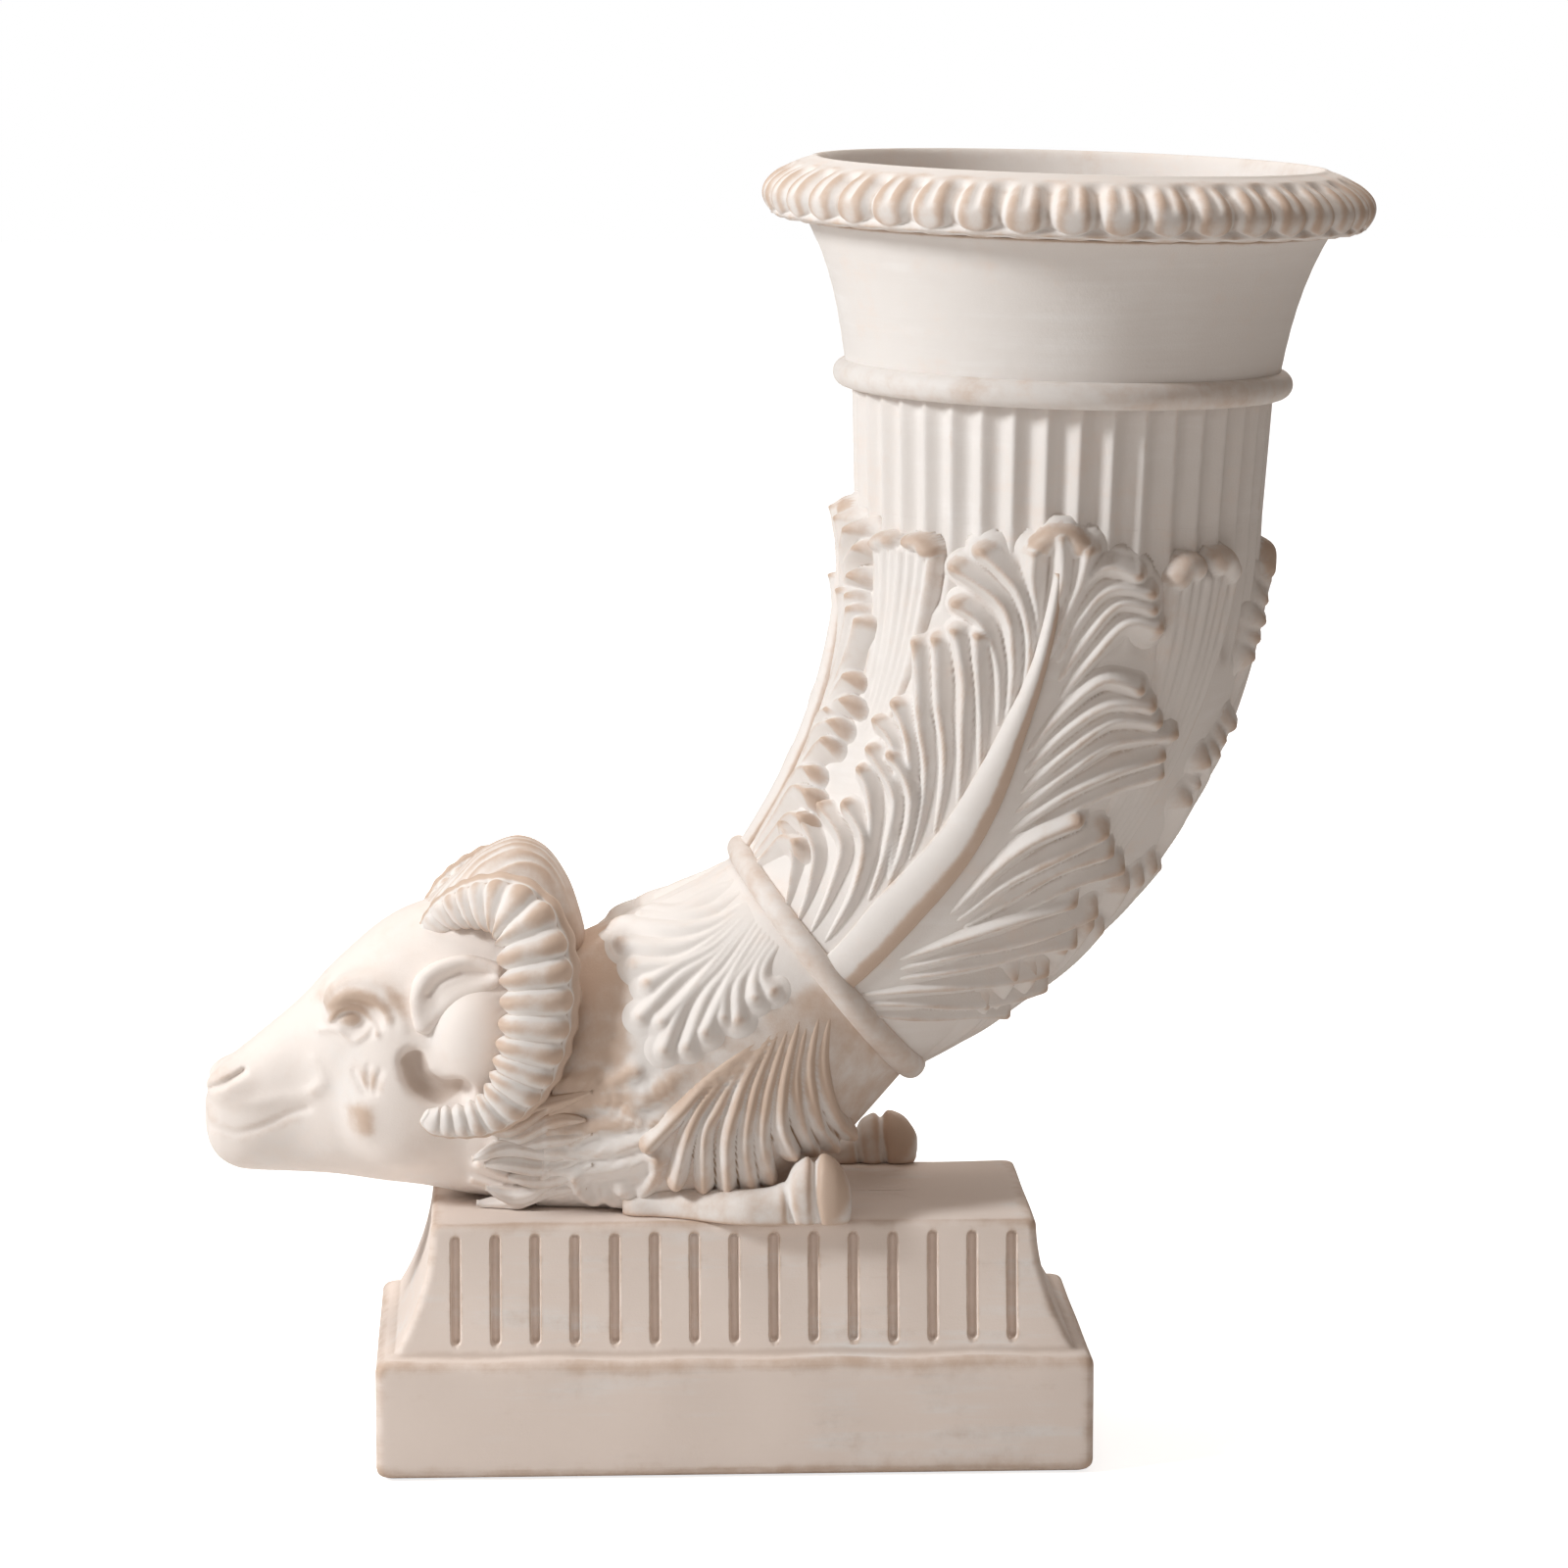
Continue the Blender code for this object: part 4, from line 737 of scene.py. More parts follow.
def make_curled_horns():
    u = np.linspace(0, len(CURL_ROWS) - 1, 500)
    turn = turns(72)
    line = through(CURL_ROWS, u)
    middle = line[:, None, :3]
    ends = np.minimum(u / 0.25, (u[-1] - u) / 0.35)[:, None]
    radius = line[:, 3:4] * np.sqrt(1 - (1 - np.clip(ends, 0.03, 1)) ** 2)
    along = unit(np.gradient(middle, axis=0))
    flank = unit(np.array([0, 1, 0]) - along * along[..., 1:2])
    outer = np.cross(along, flank)
    phase = np.interp(u, np.arange(len(CURL_RIBS)), CURL_RIBS)[:, None]
    c = ((phase + 0.12 * np.sin(turn)) % 1) * 2 - 1
    rib = (0.5 + 0.5 * np.cos(math.pi * c)) ** 0.55 - 1
    from_keel = np.abs((turn - math.pi / 2 + math.pi) % math.tau - math.pi)
    ribs = CURL_RIB_SHARE * rib * (1 - 0.25 * np.sin(turn)) * ease((from_keel - 0.16) / 0.22)
    keel = KEEL_SHARE * np.exp(-(from_keel / 0.13) ** 2) * (1 + 0.3 * np.sin(phase * math.tau))
    groove = -0.10 * np.exp(-((from_keel - 0.30) / 0.10) ** 2)
    reach = radius * (1 + ribs + keel + groove)
    wide = squared(np.sin(turn), CURL_SQUARE) * reach
    deep = squared(np.cos(turn), CURL_SQUARE) * reach * CURL_DEPTH_SHARE
    rings = middle + outer * wide[..., None] + flank * deep[..., None]
    # Tan along the keel; umber in the grooves between the ribs, part dirt and part painted shade.
    rubbed = 0.55 * np.exp(-(from_keel / 0.2) ** 2) - 0.6 * np.clip(-rib - 0.4, 0, 1)
    rubbed = np.append(rubbed.ravel(), [0, 0])
    clay = aged_clay("ribbed_horn_wash", -0.06, (80, 80, 80), 0.3, 0.6)
    for name, side in SIDES:
        shell = (*tube_shell(rings * np.array([1, side, 1])), rubbed)
        lay_piece("ribbed_horn_" + name, [shell], clay, "curled_horn_" + name)


make_curled_horns()

# Ears. Small cupped leaves of clay pressed on inside the curl of each horn, drooping to a point,
# with a rolled rim, a fold along the middle and a crease between them.
EAR_Y = 28.9
EAR_VOXEL = 0.45
EAR_RIM = ((-113.6, 136.5), (-114.8, 144), (-112.2, 151.2), (-106.6, 155.2), (-98.5, 156.8), (-90, 154.5))
EAR_FOLD = ((-112, 136.5), (-108, 140.2), (-103.7, 144.5), (-97.7, 147.3), (-90, 150.5))
EAR_CREASE = ((-110.8, 146.5), (-107.5, 150.5), (-101.5, 153))
EAR_PLATE = ((-103.5, EAR_Y - 3.2, 147.5), (12.5, 4.6, 8.5))
EAR_LOBE = ((-111.6, EAR_Y - 1.4, 140), (3.6, 2.8, 5.6))


def ear_field(x, y, z):
    y = np.abs(y)
    rim = np.hypot(from_stroke(x, z, EAR_RIM), y - EAR_Y - 0.3) - 1.7
    fold = np.hypot(from_stroke(x, z, EAR_FOLD), y - EAR_Y) - 1.6
    plate = boss(x, y, z, *EAR_PLATE)
    lobe = boss(x, y, z, *EAR_LOBE)
    ear = melded(melded(melded(rim, fold, 2.6), plate, 4.4), lobe, 3)
    return ear - relief(x, z, (EAR_CREASE,), -0.5, 1)


for name, side in SIDES:
    inner_y, outer_y = sorted((side * 22, side * 38))
    shell = carved_shell(ear_field, (-120, inner_y, 132), (-84, outer_y, 162), EAR_VOXEL)
    lay_piece("cupped_ear_" + name, [shell], FACE_CLAY, "ear_" + name, full_wear=1.4)

# Forelock. A high bun of hair between the horns, modelled solid and luted to the poll; its strands
# are combed back and rubbed to tan.
FORELOCK_ROWS = ((-117, 166, 160, 2), (-112, 170.5, 156, 9), (-102, 179.5, 150, 15),
                 (-94, 186.5, 148, 18), (-84, 190.4, 146, 19.3), (-75, 187, 146, 18.6),
                 (-68, 177.5, 147, 16.5), (-64, 166, 150, 12), (-62.2, 158, 153, 2))
FORELOCK_BOX = ((-119, -22, 144), (-60, 22, 193))


def forelock_field(x, y, z):
    bun = swelled(x, y, z, FORELOCK_ROWS, 2.1)
    comb = np.abs(y) * 0.9 + 0.35 * z + 1.4 * np.sin(x / 6)
    strands = 0.22 * np.sin(comb * math.tau / 2.6) + 0.12 * np.sin(comb * math.tau / 1.7 + x / 4)
    return bun - strands * ease((-66 - x) / 8)


FORELOCK_SHELL = carved_shell(forelock_field, *FORELOCK_BOX, HEAD_VOXEL)
FORELOCK_CLAY = aged_clay("combed_forelock_wash", 0.42, (120, 60, 30), 0.5, 0.35)
lay_piece("combed_forelock", [FORELOCK_SHELL], FORELOCK_CLAY, "forelock")

# Horn vessel. A thrown horn, bent while soft, that rises from the ram's back; its wall is 7 mm and
# its upper end carries the foot of the flutes. The leaves are stuck on it with slip.
HORN_FOOT_REACH = 62.3
NECK_FOOT = np.array([83.9, 0, 292])
NECK_LEAN = math.radians(1.6)
NECK_AXIS = np.array([math.sin(NECK_LEAN), 0, math.cos(NECK_LEAN)])
NECK_FOOT_REACH = 53.9
NECK_FOOT_RADIUS = 63
NECK_TOP_RADIUS = 65
NECK_LENGTH = 40.5
VESSEL_WALL = 7
VESSEL_FLOOR = 10
BOWL_RISE = 22
FLUTE_COUNT = 40
FLUTE_DEPTH = 2.6
FLUTE_START = 128


def bend_table():
    """Points of the horn's bent axis and the length run so far at each."""
    t = np.linspace(0, 1, 401)[:, None]
    low = BAND_CENTRE + BAND_AXIS * HORN_FOOT_REACH
    high = NECK_FOOT - NECK_AXIS * NECK_FOOT_REACH
    curve = ((1 - t) ** 3 * BAND_CENTRE + 3 * (1 - t) ** 2 * t * low
             + 3 * (1 - t) * t * t * high + t ** 3 * NECK_FOOT)
    runs = np.concatenate([[0], np.cumsum(np.linalg.norm(np.diff(curve, axis=0), axis=1))])
    return curve, runs


BEND_POINTS, BEND_RUNS = bend_table()
BEND_LENGTH = float(BEND_RUNS[-1])


def axis_point(s):
    bent = np.stack([np.interp(s, BEND_RUNS, BEND_POINTS[:, k]) for k in range(3)], -1)
    below = np.minimum(s, 0)[..., None] * BAND_AXIS
    above = np.maximum(s - BEND_LENGTH, 0)[..., None] * NECK_AXIS
    return bent + below + above


def horn_radius(s):
    share = np.clip(s / BEND_LENGTH, 0, 1)
    swell = HORN_FOOT_RADIUS + (NECK_FOOT_RADIUS - HORN_FOOT_RADIUS) * (1 - (1 - share) ** 2)
    return swell + (NECK_TOP_RADIUS - NECK_FOOT_RADIUS) * np.maximum(s - BEND_LENGTH, 0) / NECK_LENGTH


def horn_point(s, angle, lift):
    """A point round the horn: angle 0 faces front, a quarter turn faces the outside of the bend."""
    s, angle, lift = np.broadcast_arrays(np.asarray(s, float), angle, lift)
    along = unit(axis_point(s + 0.5) - axis_point(s - 0.5))
    outside = np.stack([along[..., 2], np.zeros_like(s), -along[..., 0]], -1)
    front = np.array([0, -1, 0])
    radius = (horn_radius(s) + lift)[..., None]
    return axis_point(s) + (outside * np.sin(angle)[..., None] + front * np.cos(angle)[..., None]) * radius


def flute_hollow(angle):
    """Depth of the scooped flutes, with softly rounded fillets between them."""
    u = ((angle / math.tau * FLUTE_COUNT) % 1) * 2 - 1
    return FLUTE_DEPTH * (0.5 + 0.5 * np.cos(math.pi * u)) ** 0.7


def clean_joint(points):
    """No rubbing where the neck sits on the horn: the joint is filled and washed over."""
    height = (points - NECK_FOOT) @ NECK_AXIS
    return 1 - np.exp(-(height / 3) ** 4)


POTTED_CLAY = aged_clay("thrown_vessel_wash", -0.22, (30, 30, 220), 0.5, 0.25)


def make_horn_vessel():
    turn = turns(FLUTE_COUNT * 10)
    s_out = np.append(np.linspace(0.3, BEND_LENGTH - 1.5, 88), BEND_LENGTH - np.array([0.3, 0.06, 0.02]))
    s_out = s_out[:, None]
    outer = horn_point(s_out, turn, -flute_hollow(turn) * ease((s_out - FLUTE_START) / 6))
    s_in = np.linspace(BEND_LENGTH - 0.2, VESSEL_FLOOR, 40)[:, None]
    rise = np.clip((s_in - VESSEL_FLOOR) / BOWL_RISE, 0, 1)
    bowl = np.sqrt(1 - (1 - rise) ** 2 * 0.985)
    inner = horn_point(s_in, turn, (horn_radius(s_in) - VESSEL_WALL) * bowl - horn_radius(s_in))
    lay_piece("bent_horn_vessel", [tube_shell(np.concatenate([outer, inner]))], POTTED_CLAY,
              "horn_vessel", full_wear=1.4, calm=clean_joint)


make_horn_vessel()

# Band. A plain half-round bead of clay rolled by hand and pressed round the joint between the ram's
# back and the horn, rubbed through to tan along its crest.
BAND_BEAD = 4
BAND_SEAT = 43.2


def bead_shell(centre_s, seat, bead):
    """A half-round bead round the horn's axis, a little uneven as if rolled by hand."""
    turn = turns(180)
    swing = np.radians(np.linspace(-90, 90, 15))[:, None]
    s = centre_s + bead * np.sin(swing) + 0 * turn
    uneven = 0.25 * np.sin(5 * turn + 1) * np.sin(2 * turn + 0.3)
    lift = seat - horn_radius(s) + bead * np.cos(swing) * (1 + 0.06 * uneven) + 0.15 * uneven
    back = horn_point(centre_s + bead * np.array([[1], [-1]]) + 0 * turn, turn,
                      seat - 2 - horn_radius(np.full((2, 1), centre_s)))
    return ring_shell(np.concatenate([horn_point(s, turn, lift), back]))


BEAD_CLAY = aged_clay("rubbed_bead_wash", 0.24, (30, 30, 200), 0.5, 0.25)
lay_piece("rolled_horn_band", [bead_shell(0, BAND_SEAT, BAND_BEAD)], BEAD_CLAY, "horn_band")

# Fluted neck. A straight thrown collar luted on the horn and cut with forty scooped flutes, which end
# in round heads just below the bead.
FLUTE_END = 4
NECK_TOP_S = BEND_LENGTH + NECK_LENGTH


def make_fluted_neck():
    turn = turns(FLUTE_COUNT * 14)
    s_out = np.concatenate([BEND_LENGTH + np.array([0, 0.04, 0.3]),
                            np.linspace(BEND_LENGTH + 1.5, NECK_TOP_S - FLUTE_END - 2, 20),
                            np.linspace(NECK_TOP_S - FLUTE_END - 1.5, NECK_TOP_S, 14)])[:, None]
    arch = FLUTE_END * (1 - flute_hollow(turn) / FLUTE_DEPTH)
    cut = ease((NECK_TOP_S - FLUTE_END * 0.55 - arch * 0.3 - s_out) / 1.6)
    outer = horn_point(s_out, turn, -flute_hollow(turn) * cut)
    inner = horn_point(np.linspace(NECK_TOP_S, BEND_LENGTH, 8)[:, None], turn, -VESSEL_WALL)
    lay_piece("scooped_fluted_neck", [ring_shell(np.concatenate([outer, inner]))], POTTED_CLAY,
              "fluted_neck", full_wear=1.4, calm=clean_joint)


make_fluted_neck()

# Neck ring. A half-round bead of clay over the joint of neck and mouth, rolled as the band is and
# rubbed to tan.
COLLAR_BEAD = 4.2
COLLAR_SEAT = 66.6
lay_piece("rolled_neck_ring", [bead_shell(NECK_TOP_S, COLLAR_SEAT, COLLAR_BEAD)], BEAD_CLAY,
          "neck_ring")

# Flared mouth. A thrown, smooth, trumpet-shaped wall luted on the neck; the brush went round it, so
# its streaks lie level.
MOUTH_LENGTH = 46.5
MOUTH_FOOT_RADIUS = 66.5
MOUTH_TOP_RADIUS = 80.5
MOUTH_WALL = 8.5
MOUTH_FOOT_S = NECK_TOP_S + LUTE_GAP


def make_flared_mouth():
    turn = turns(240)
    share = np.linspace(0, 1, 50)[:, None]
    s = MOUTH_FOOT_S + MOUTH_LENGTH * share + 0 * turn
    flare = 0.55 * share + 0.45 * share ** 3
    radius = MOUTH_FOOT_RADIUS + (MOUTH_TOP_RADIUS - MOUTH_FOOT_RADIUS) * flare
    throwing = 0.03 * np.sin(share * 46 + 0.6 * np.sin(turn)) + 0.15 * np.sin(3 * turn + share * 4)
    outer = horn_point(s, turn, radius - horn_radius(s) + throwing)
    inner = horn_point(s[::-1], turn, radius[::-1] - MOUTH_WALL - horn_radius(s) - throwing)
    clay = aged_clay("brushed_mouth_wash", -0.16, (14, 14, 260), 0.55, 0.2)
    lay_piece("thrown_flared_mouth", [ring_shell(np.concatenate([outer, inner]))], clay,
              "flared_mouth")


make_flared_mouth()

# Rim moulding. A thick lip luted on the mouth, pressed round its outside into forty tongues: each has a
# round foot and a creased top, with a deep dent between it and the next and a small dart below.
RIM_SECTION = ((75, 0), (86, 0), (90.5, 1), (92.4, 2.8), (94, 6.5), (93.2, 10.5), (89.5, 14.2),
               (84, 16.8), (80, 18.2), (78.6, 18.8), (77.2, 18.6), (75.8, 16), (74.2, 9), (73.4, 2))
RIM_SEAT_S = MOUTH_FOOT_S + MOUTH_LENGTH + LUTE_GAP
TONGUE_COUNT = 40
TONGUE_FOOT = 2
TONGUE_TOP = 7.6
TONGUE_DENT = 2.6
TONGUE_CREASE = 0.8
TONGUE_DART = 0.6
TONGUE_SCALLOP = 0.35
TONGUE_TAN = 0.22


def make_rim_moulding():
    turn = turns(TONGUE_COUNT * 16)
    row = np.concatenate([np.linspace(0, TONGUE_FOOT, 9)[:-1], np.linspace(TONGUE_FOOT, TONGUE_TOP, 56),
                          np.linspace(TONGUE_TOP, len(RIM_SECTION) - 1, 32)[1:]])
    line = through(RIM_SECTION, row)
    out = unit(np.gradient(line, row, axis=0)[:, ::-1] * np.array([1, -1]))
    rise = ((row - TONGUE_FOOT) / 5.2)[:, None]
    u = ((turn / math.tau * TONGUE_COUNT) % 1) * 2 - 1
    from_gap = 1 - np.abs(u)
    spread = 0.20 + 0.22 * np.clip(rise, 0, 1) + 0.5 * np.exp(-(np.maximum(rise, 0) / 0.16) ** 2)
    dent = -TONGUE_DENT * np.exp(-(from_gap / spread) ** 2)
    dent = dent * window(rise, 0.02, 0.12, 1, 0.16)
    crease = -TONGUE_CREASE * np.exp(-(u / 0.20) ** 2) * window(rise, 0.42, 0.2, 0.95, 0.15)
    dart = TONGUE_DART * np.clip(1 - from_gap / np.maximum(0.5 - 2 * rise, 0.12), 0, 1)
    dart = dart * window(rise, -0.02, 0.1, 0.22, 0.12)
    scallop = TONGUE_SCALLOP * np.cos(u * math.pi) * window(rise, -0.30, 0.15, 0.02, 0.10)
    lift = (dent + crease + dart + scallop)[..., None] * out[:, None, :]
    radius = line[:, 0:1] + lift[..., 0]
    s = RIM_SEAT_S + np.maximum(line[:, 1:2] + lift[..., 1], 0)
    points = horn_point(s, turn, radius - horn_radius(s))
    tan = (TONGUE_TAN * window(rise, -0.05, 0.2, 1.15, 0.2) + 0 * turn).ravel()
    clay = aged_clay("tongued_rim_wash", 0.02, (40, 40, 150), 0.4, 0.45)
    lay_piece("tongued_rim", [(*ring_shell(points), tan)], clay, "rim_moulding")


make_rim_moulding()

# Acanthus leaves. Four press-moulded sprigs stuck on the horn: each has a broad smooth midrib and lobes of
# ridged fingers that sweep out of it and thicken to blunt ends; the tip rolls over into a smooth hood.
LEAF_REFERENCE_RADIUS = 55
LEAF_SINK = -0.8
STRAND_BED = -2.2
LEAF_STEP = 0.75
FRONT_MIDRIB = ((0, -1), (29, -5), (57, -4.4), (76, -5.3), (98, -6), (117, -5), (150, -4))
MIDRIB_WIDTH = ((0, 16), (29, 16), (57, 12.8), (76, 10.6), (98, 7), (117, 4.5), (150, 2.6))
MIDRIB_RISE = ((0, 2.4), (60, 3.4), (150, 4.6))
TIP_LOBE = (((122, -3.5), (136, -1), (147, 1.5), (156, 2.5)),
            ((122, -5.5), (136, -8), (147, -9.5), (157, -10.5)), 3)
TIP_CAP = ((158, -9), (160.8, -6.5), (161.6, -4), (160.8, -1.5), (158, 1))
RIGHT_LOBES = (
    (((128, -2), (143, 1), (152.5, 7), (151, 14.5)), ((112, 3), (125, 8), (136.5, 14.5), (137, 21.5)), 4),
    (((94, 0), (109, 5), (120.5, 12.5), (120, 21)), ((64, 9), (80, 17), (93, 27), (100, 38)), 6),
    (((40, 9), (56, 9.5), (70, 13), (80, 20)), ((40, 19), (54, 26), (66, 34), (73, 42)), 4),
    (((20, 9), (35, 16.5), (49, 25), (60, 35)), ((16, 15), (31, 27), (45, 40), (54, 51)), 3),
    (((4, 11), (18, 23), (31, 37), (41, 50)), ((0, 17), (11, 32), (22, 47), (29, 59)), 3))
LEFT_LOBES = (
    (((100, -6), (124, -8), (143, -14), (153, -22.5)),
     ((98, -10.5), (117, -15.5), (130, -21.5), (135, -30)), 3),
    (((80, -9), (101, -16.5), (116, -20.5), (124, -21.5)),
     ((45, -13), (72, -23), (90, -30), (111, -36.5)), 4),
    (((42, -14), (64, -25), (80, -32), (88, -38)), ((36, -15), (58, -27), (74, -36), (79, -43)), 2),
    (((34, -13), (54, -19.5), (65, -25), (70, -32.5)), ((17, -15), (38, -25), (53, -33), (60, -42)), 3),
    (((6, -14), (26, -20.5), (40, -28), (44, -37.5)), ((0, -33), (10, -40), (18, -46), (20, -55)), 4))
BLADE = {"rises": (-0.8, 1.3), "halves": (3.4, 7), "ridge": 0}
FINGER = {"rises": (-0.4, 4.4), "halves": (2, 4.7), "ridge": 2}
LOW_FINGER = {"rises": (-0.4, 3.6), "halves": (2, 4.7), "ridge": 1.6}
INNER_FINGER = {"rises": (-0.4, 6), "halves": (2, 5.2), "ridge": 1.6}
CAP = {"rises": (5.6, 5.6), "halves": (4.2, 4.2), "ridge": 0}
ACANTHUS_TANS = (0.4, 0, 0.75)
LEAF_CLAY = aged_clay("moulded_leaf_wash", -0.08, (70, 70, 70), 0.3, 0.5)


def fan(first, last, count, swell=0.45, uneven=0.22):
    """Strands spread from a first one to a last one: swell rounds the lobe's end, uneven sets ends apart."""
    strands = []
    for order, t in enumerate(np.linspace(0, 1, count)):
        strand = np.array(first) * (1 - t) + np.array(last) * t
        end = strand[-1] - strand[-2]
        strand[-1] += (swell * math.sin(math.pi * t) + uneven * math.sin(2.4 * order + 0.7)) * end
        strand[-2] += uneven * math.sin(1.9 * order) * 0.5 * np.array([-end[1], end[0]])
        strands.append(strand)
    return strands


def fanned(lobes, share=1):
    """All strands of some lobes, drawn in across to a share."""
    return [strand * np.array([1, share]) for lobe in lobes for strand in fan(*lobe)]


def both_sides(strands):
    """Strands and their mirror images across a straight midrib."""
    return [*strands, *(strand * np.array([1, -1]) for strand in strands)]


def strand_lift(x, z, strands, rises, halves, ridge):
    """Height over the ground of strands drawn on it, and the share run along the topmost one.

    Each strand is a blade from a root to a blunt end, with its rise and half width at both, and
    carries a soft ridge along its middle.
    """
    lift = np.full(x.shape, STRAND_BED)
    along = np.zeros(x.shape)
    for order, stroke in enumerate(strands):
        gap, share = along_stroke(x, z, stroke)
        half = halves[0] + (halves[1] - halves[0]) * share
        blade = np.sqrt(np.clip(1 - (gap / half) ** 2, 0, 1))
        rise = rises[0] + (rises[1] - rises[0]) * share ** 0.8 * (1 + 0.10 * math.sin(2.4 * order))
        crest = 0.5 + 0.5 * np.cos(math.pi * np.clip(gap / (0.62 * half), 0, 1))
        here = STRAND_BED + (rise - STRAND_BED) * blade + ridge * crest * (0.35 + 0.65 * share) * (blade > 0)
        along = np.where(here > lift, share, along)
        lift = np.maximum(lift, here)
    return lift, along


def patch_shell(show, back, keep):
    """Close the kept quads of two equal grids, a show face and its back, into one thin solid.

    Also gives the numbers of the points kept, counted through the show face and then the back.
    """
    count = show.shape[0] * show.shape[1]
    face = grid_quads(*show.shape[:2])
    face = face[keep.ravel()[face].any(1)]
    edges = quad_edges(face)
    rim = edges[~np.isin(edges[:, 0] * count + edges[:, 1], edges[:, 1] * count + edges[:, 0])]
    walls = np.stack([rim[:, 1], rim[:, 0], rim[:, 0] + count, rim[:, 1] + count], -1)
    faces = np.concatenate([face, face[:, ::-1] + count, walls])
    used, faces = np.unique(faces, return_inverse=True)
    points = np.concatenate([show.reshape(-1, 3), back.reshape(-1, 3)])
    return points[used], faces.reshape(-1, 4), used


def leaf_shell(x, z, lay, strands, finger, blade=None, caps=(), thick=0.5, tans=(0, 0, 0)):
    """A leaf of ridged fingers on a field of x and z, with a flat blade under them and rolled caps.

    lay sets heights on the ground; tans gives the rubbing of the fingers' ends, painted shade over their
    roots and the rubbing of the caps.
    """
    end_tan, root_shade_tan, cap_tan = tans
    fingers, share = strand_lift(x, z, strands, **finger)
    lift = fingers
    # The roots' tan is painted shade.
    tan = end_tan * ease((share - 0.88) / 0.12) + root_shade_tan * ease((0.85 - share) / 0.45)
    if blade:
        lift = np.maximum(lift, strand_lift(x, z, strands, **blade)[0])
    if caps:
        rolls, _ = strand_lift(x, z, caps, **CAP)
        lift = np.maximum(lift, rolls)
        tan = np.where(rolls > fingers, cap_tan, tan)
    back = lay(np.full(x.shape, STRAND_BED - thick))
    points, faces, used = patch_shell(lay(lift), back, lift > STRAND_BED)
    return points, faces, np.tile(tan.ravel(), 2)[used]


def midrib_shell(lay, centre, rubbed):
    """A broad raised rib with a softly rounded face along a track of (s, across); its shaded side is rubbed
    to tan, partly as painted shade.
    """
    centre, width, rise = (np.array(track) for track in (centre, MIDRIB_WIDTH, MIDRIB_RISE))
    t = np.linspace(centre[0, 0], centre[-1, 0], 110)
    middle, broad, high = (np.interp(t, track[:, 0], track[:, 1]) for track in (centre, width, rise))
    middle = np.convolve(np.pad(middle, 6, mode="edge"), np.ones(13) / 13, "valid")
    v = np.linspace(-1, 1, 27)[None, :]
    s = t[:, None] + 0 * v
    across = middle[:, None] + v * broad[:, None] / 2
    show = lay(s, across, high[:, None] * (1 - 0.55 * np.abs(v) ** 2.2))
    points, faces, _ = patch_shell(show, lay(s, across, LEAF_SINK + 0 * s), np.ones(s.shape, bool))
    # Tan along the rib's shaded side: rubbing and painted shade.
    tan = (rubbed * ease((v - 0.1) / 0.5) + 0 * s).ravel()
    return points, faces, np.tile(tan, 2)


def make_acanthus_leaves():
    s, across = np.meshgrid(np.arange(1.5, 168, LEAF_STEP), np.arange(-66, 70, LEAF_STEP), indexing="ij")
    to_middle = np.array([0, 4])
    middle_cap = np.array(TIP_CAP) + to_middle
    middle_tip = [strand + to_middle for strand in fanned((TIP_LOBE,))]
    straight = [(place, 0) for place, _ in FRONT_MIDRIB]
    swept = (fanned((TIP_LOBE, *RIGHT_LOBES, *LEFT_LOBES)), FINGER, TIP_CAP, FRONT_MIDRIB, 1)
    outer = (middle_tip + both_sides(fanned(RIGHT_LOBES, 0.72)), LOW_FINGER, middle_cap, straight, 0.2)
    inner = (middle_tip + both_sides(fanned(LEFT_LOBES, 0.72)), INNER_FINGER, middle_cap, straight, 0.2)
    for name, turn, side, reach, (strands, finger, cap, midrib, rubbed) in (
            ("front", 0, 1, 1, swept), ("back", 180, -1, 1, swept),
            ("outer", 90, 1, 0.95, outer), ("inner", 270, 1, 1, inner)):

        def lay(s, across, lift):
            return horn_point(s * reach, math.radians(turn) + side * across / LEAF_REFERENCE_RADIUS, lift)

        leaf = leaf_shell(s, across, lambda lift: lay(s, across, lift), strands, finger, BLADE, [cap],
                          tans=ACANTHUS_TANS)
        lay_piece("acanthus_sprig_" + name, [leaf, midrib_shell(lay, midrib, rubbed)], LEAF_CLAY,
                  "acanthus_leaf_" + name, full_wear=1.6)


make_acanthus_leaves()

# Water leaves. Four plain tongues between the acanthus tips, press-moulded and stuck on with slip, finely
# veined and each with a pair of rolled ends.
WATER_LOBE = (((70, -6.5), (100, -7.5), (128, -9), (150, -10.5)),
              ((70, 6.5), (100, 7.5), (128, 9), (150, 10.5)), 7)
WATER_CAPS = (((150.5, -9.5), (153, -7.5), (153, -4.5)), ((154, 3.5), (154.5, 6.5), (152, 9)))
WATER_TURNS = (("front_outer", 40), ("back_outer", 140), ("back_inner", 231), ("front_inner", 309))
WATER_TANS = (0, 0, 0.3)
VEIN = {"rises": (-0.4, 3.2), "halves": (2.2, 3), "ridge": 0.25}


def make_water_leaves():
    s, across = np.meshgrid(np.arange(66, 161, LEAF_STEP), np.arange(-17, 17, LEAF_STEP), indexing="ij")
    for name, turn in WATER_TURNS:
        angle = math.radians(turn) + across / LEAF_REFERENCE_RADIUS
        leaf = leaf_shell(s, across, lambda lift: horn_point(s, angle, lift), fan(*WATER_LOBE, 0, 0), VEIN,
                          caps=WATER_CAPS, tans=WATER_TANS)
        lay_piece("water_sprig_" + name, [leaf], LEAF_CLAY, "water_leaf_" + name, full_wear=1.6)


make_water_leaves()

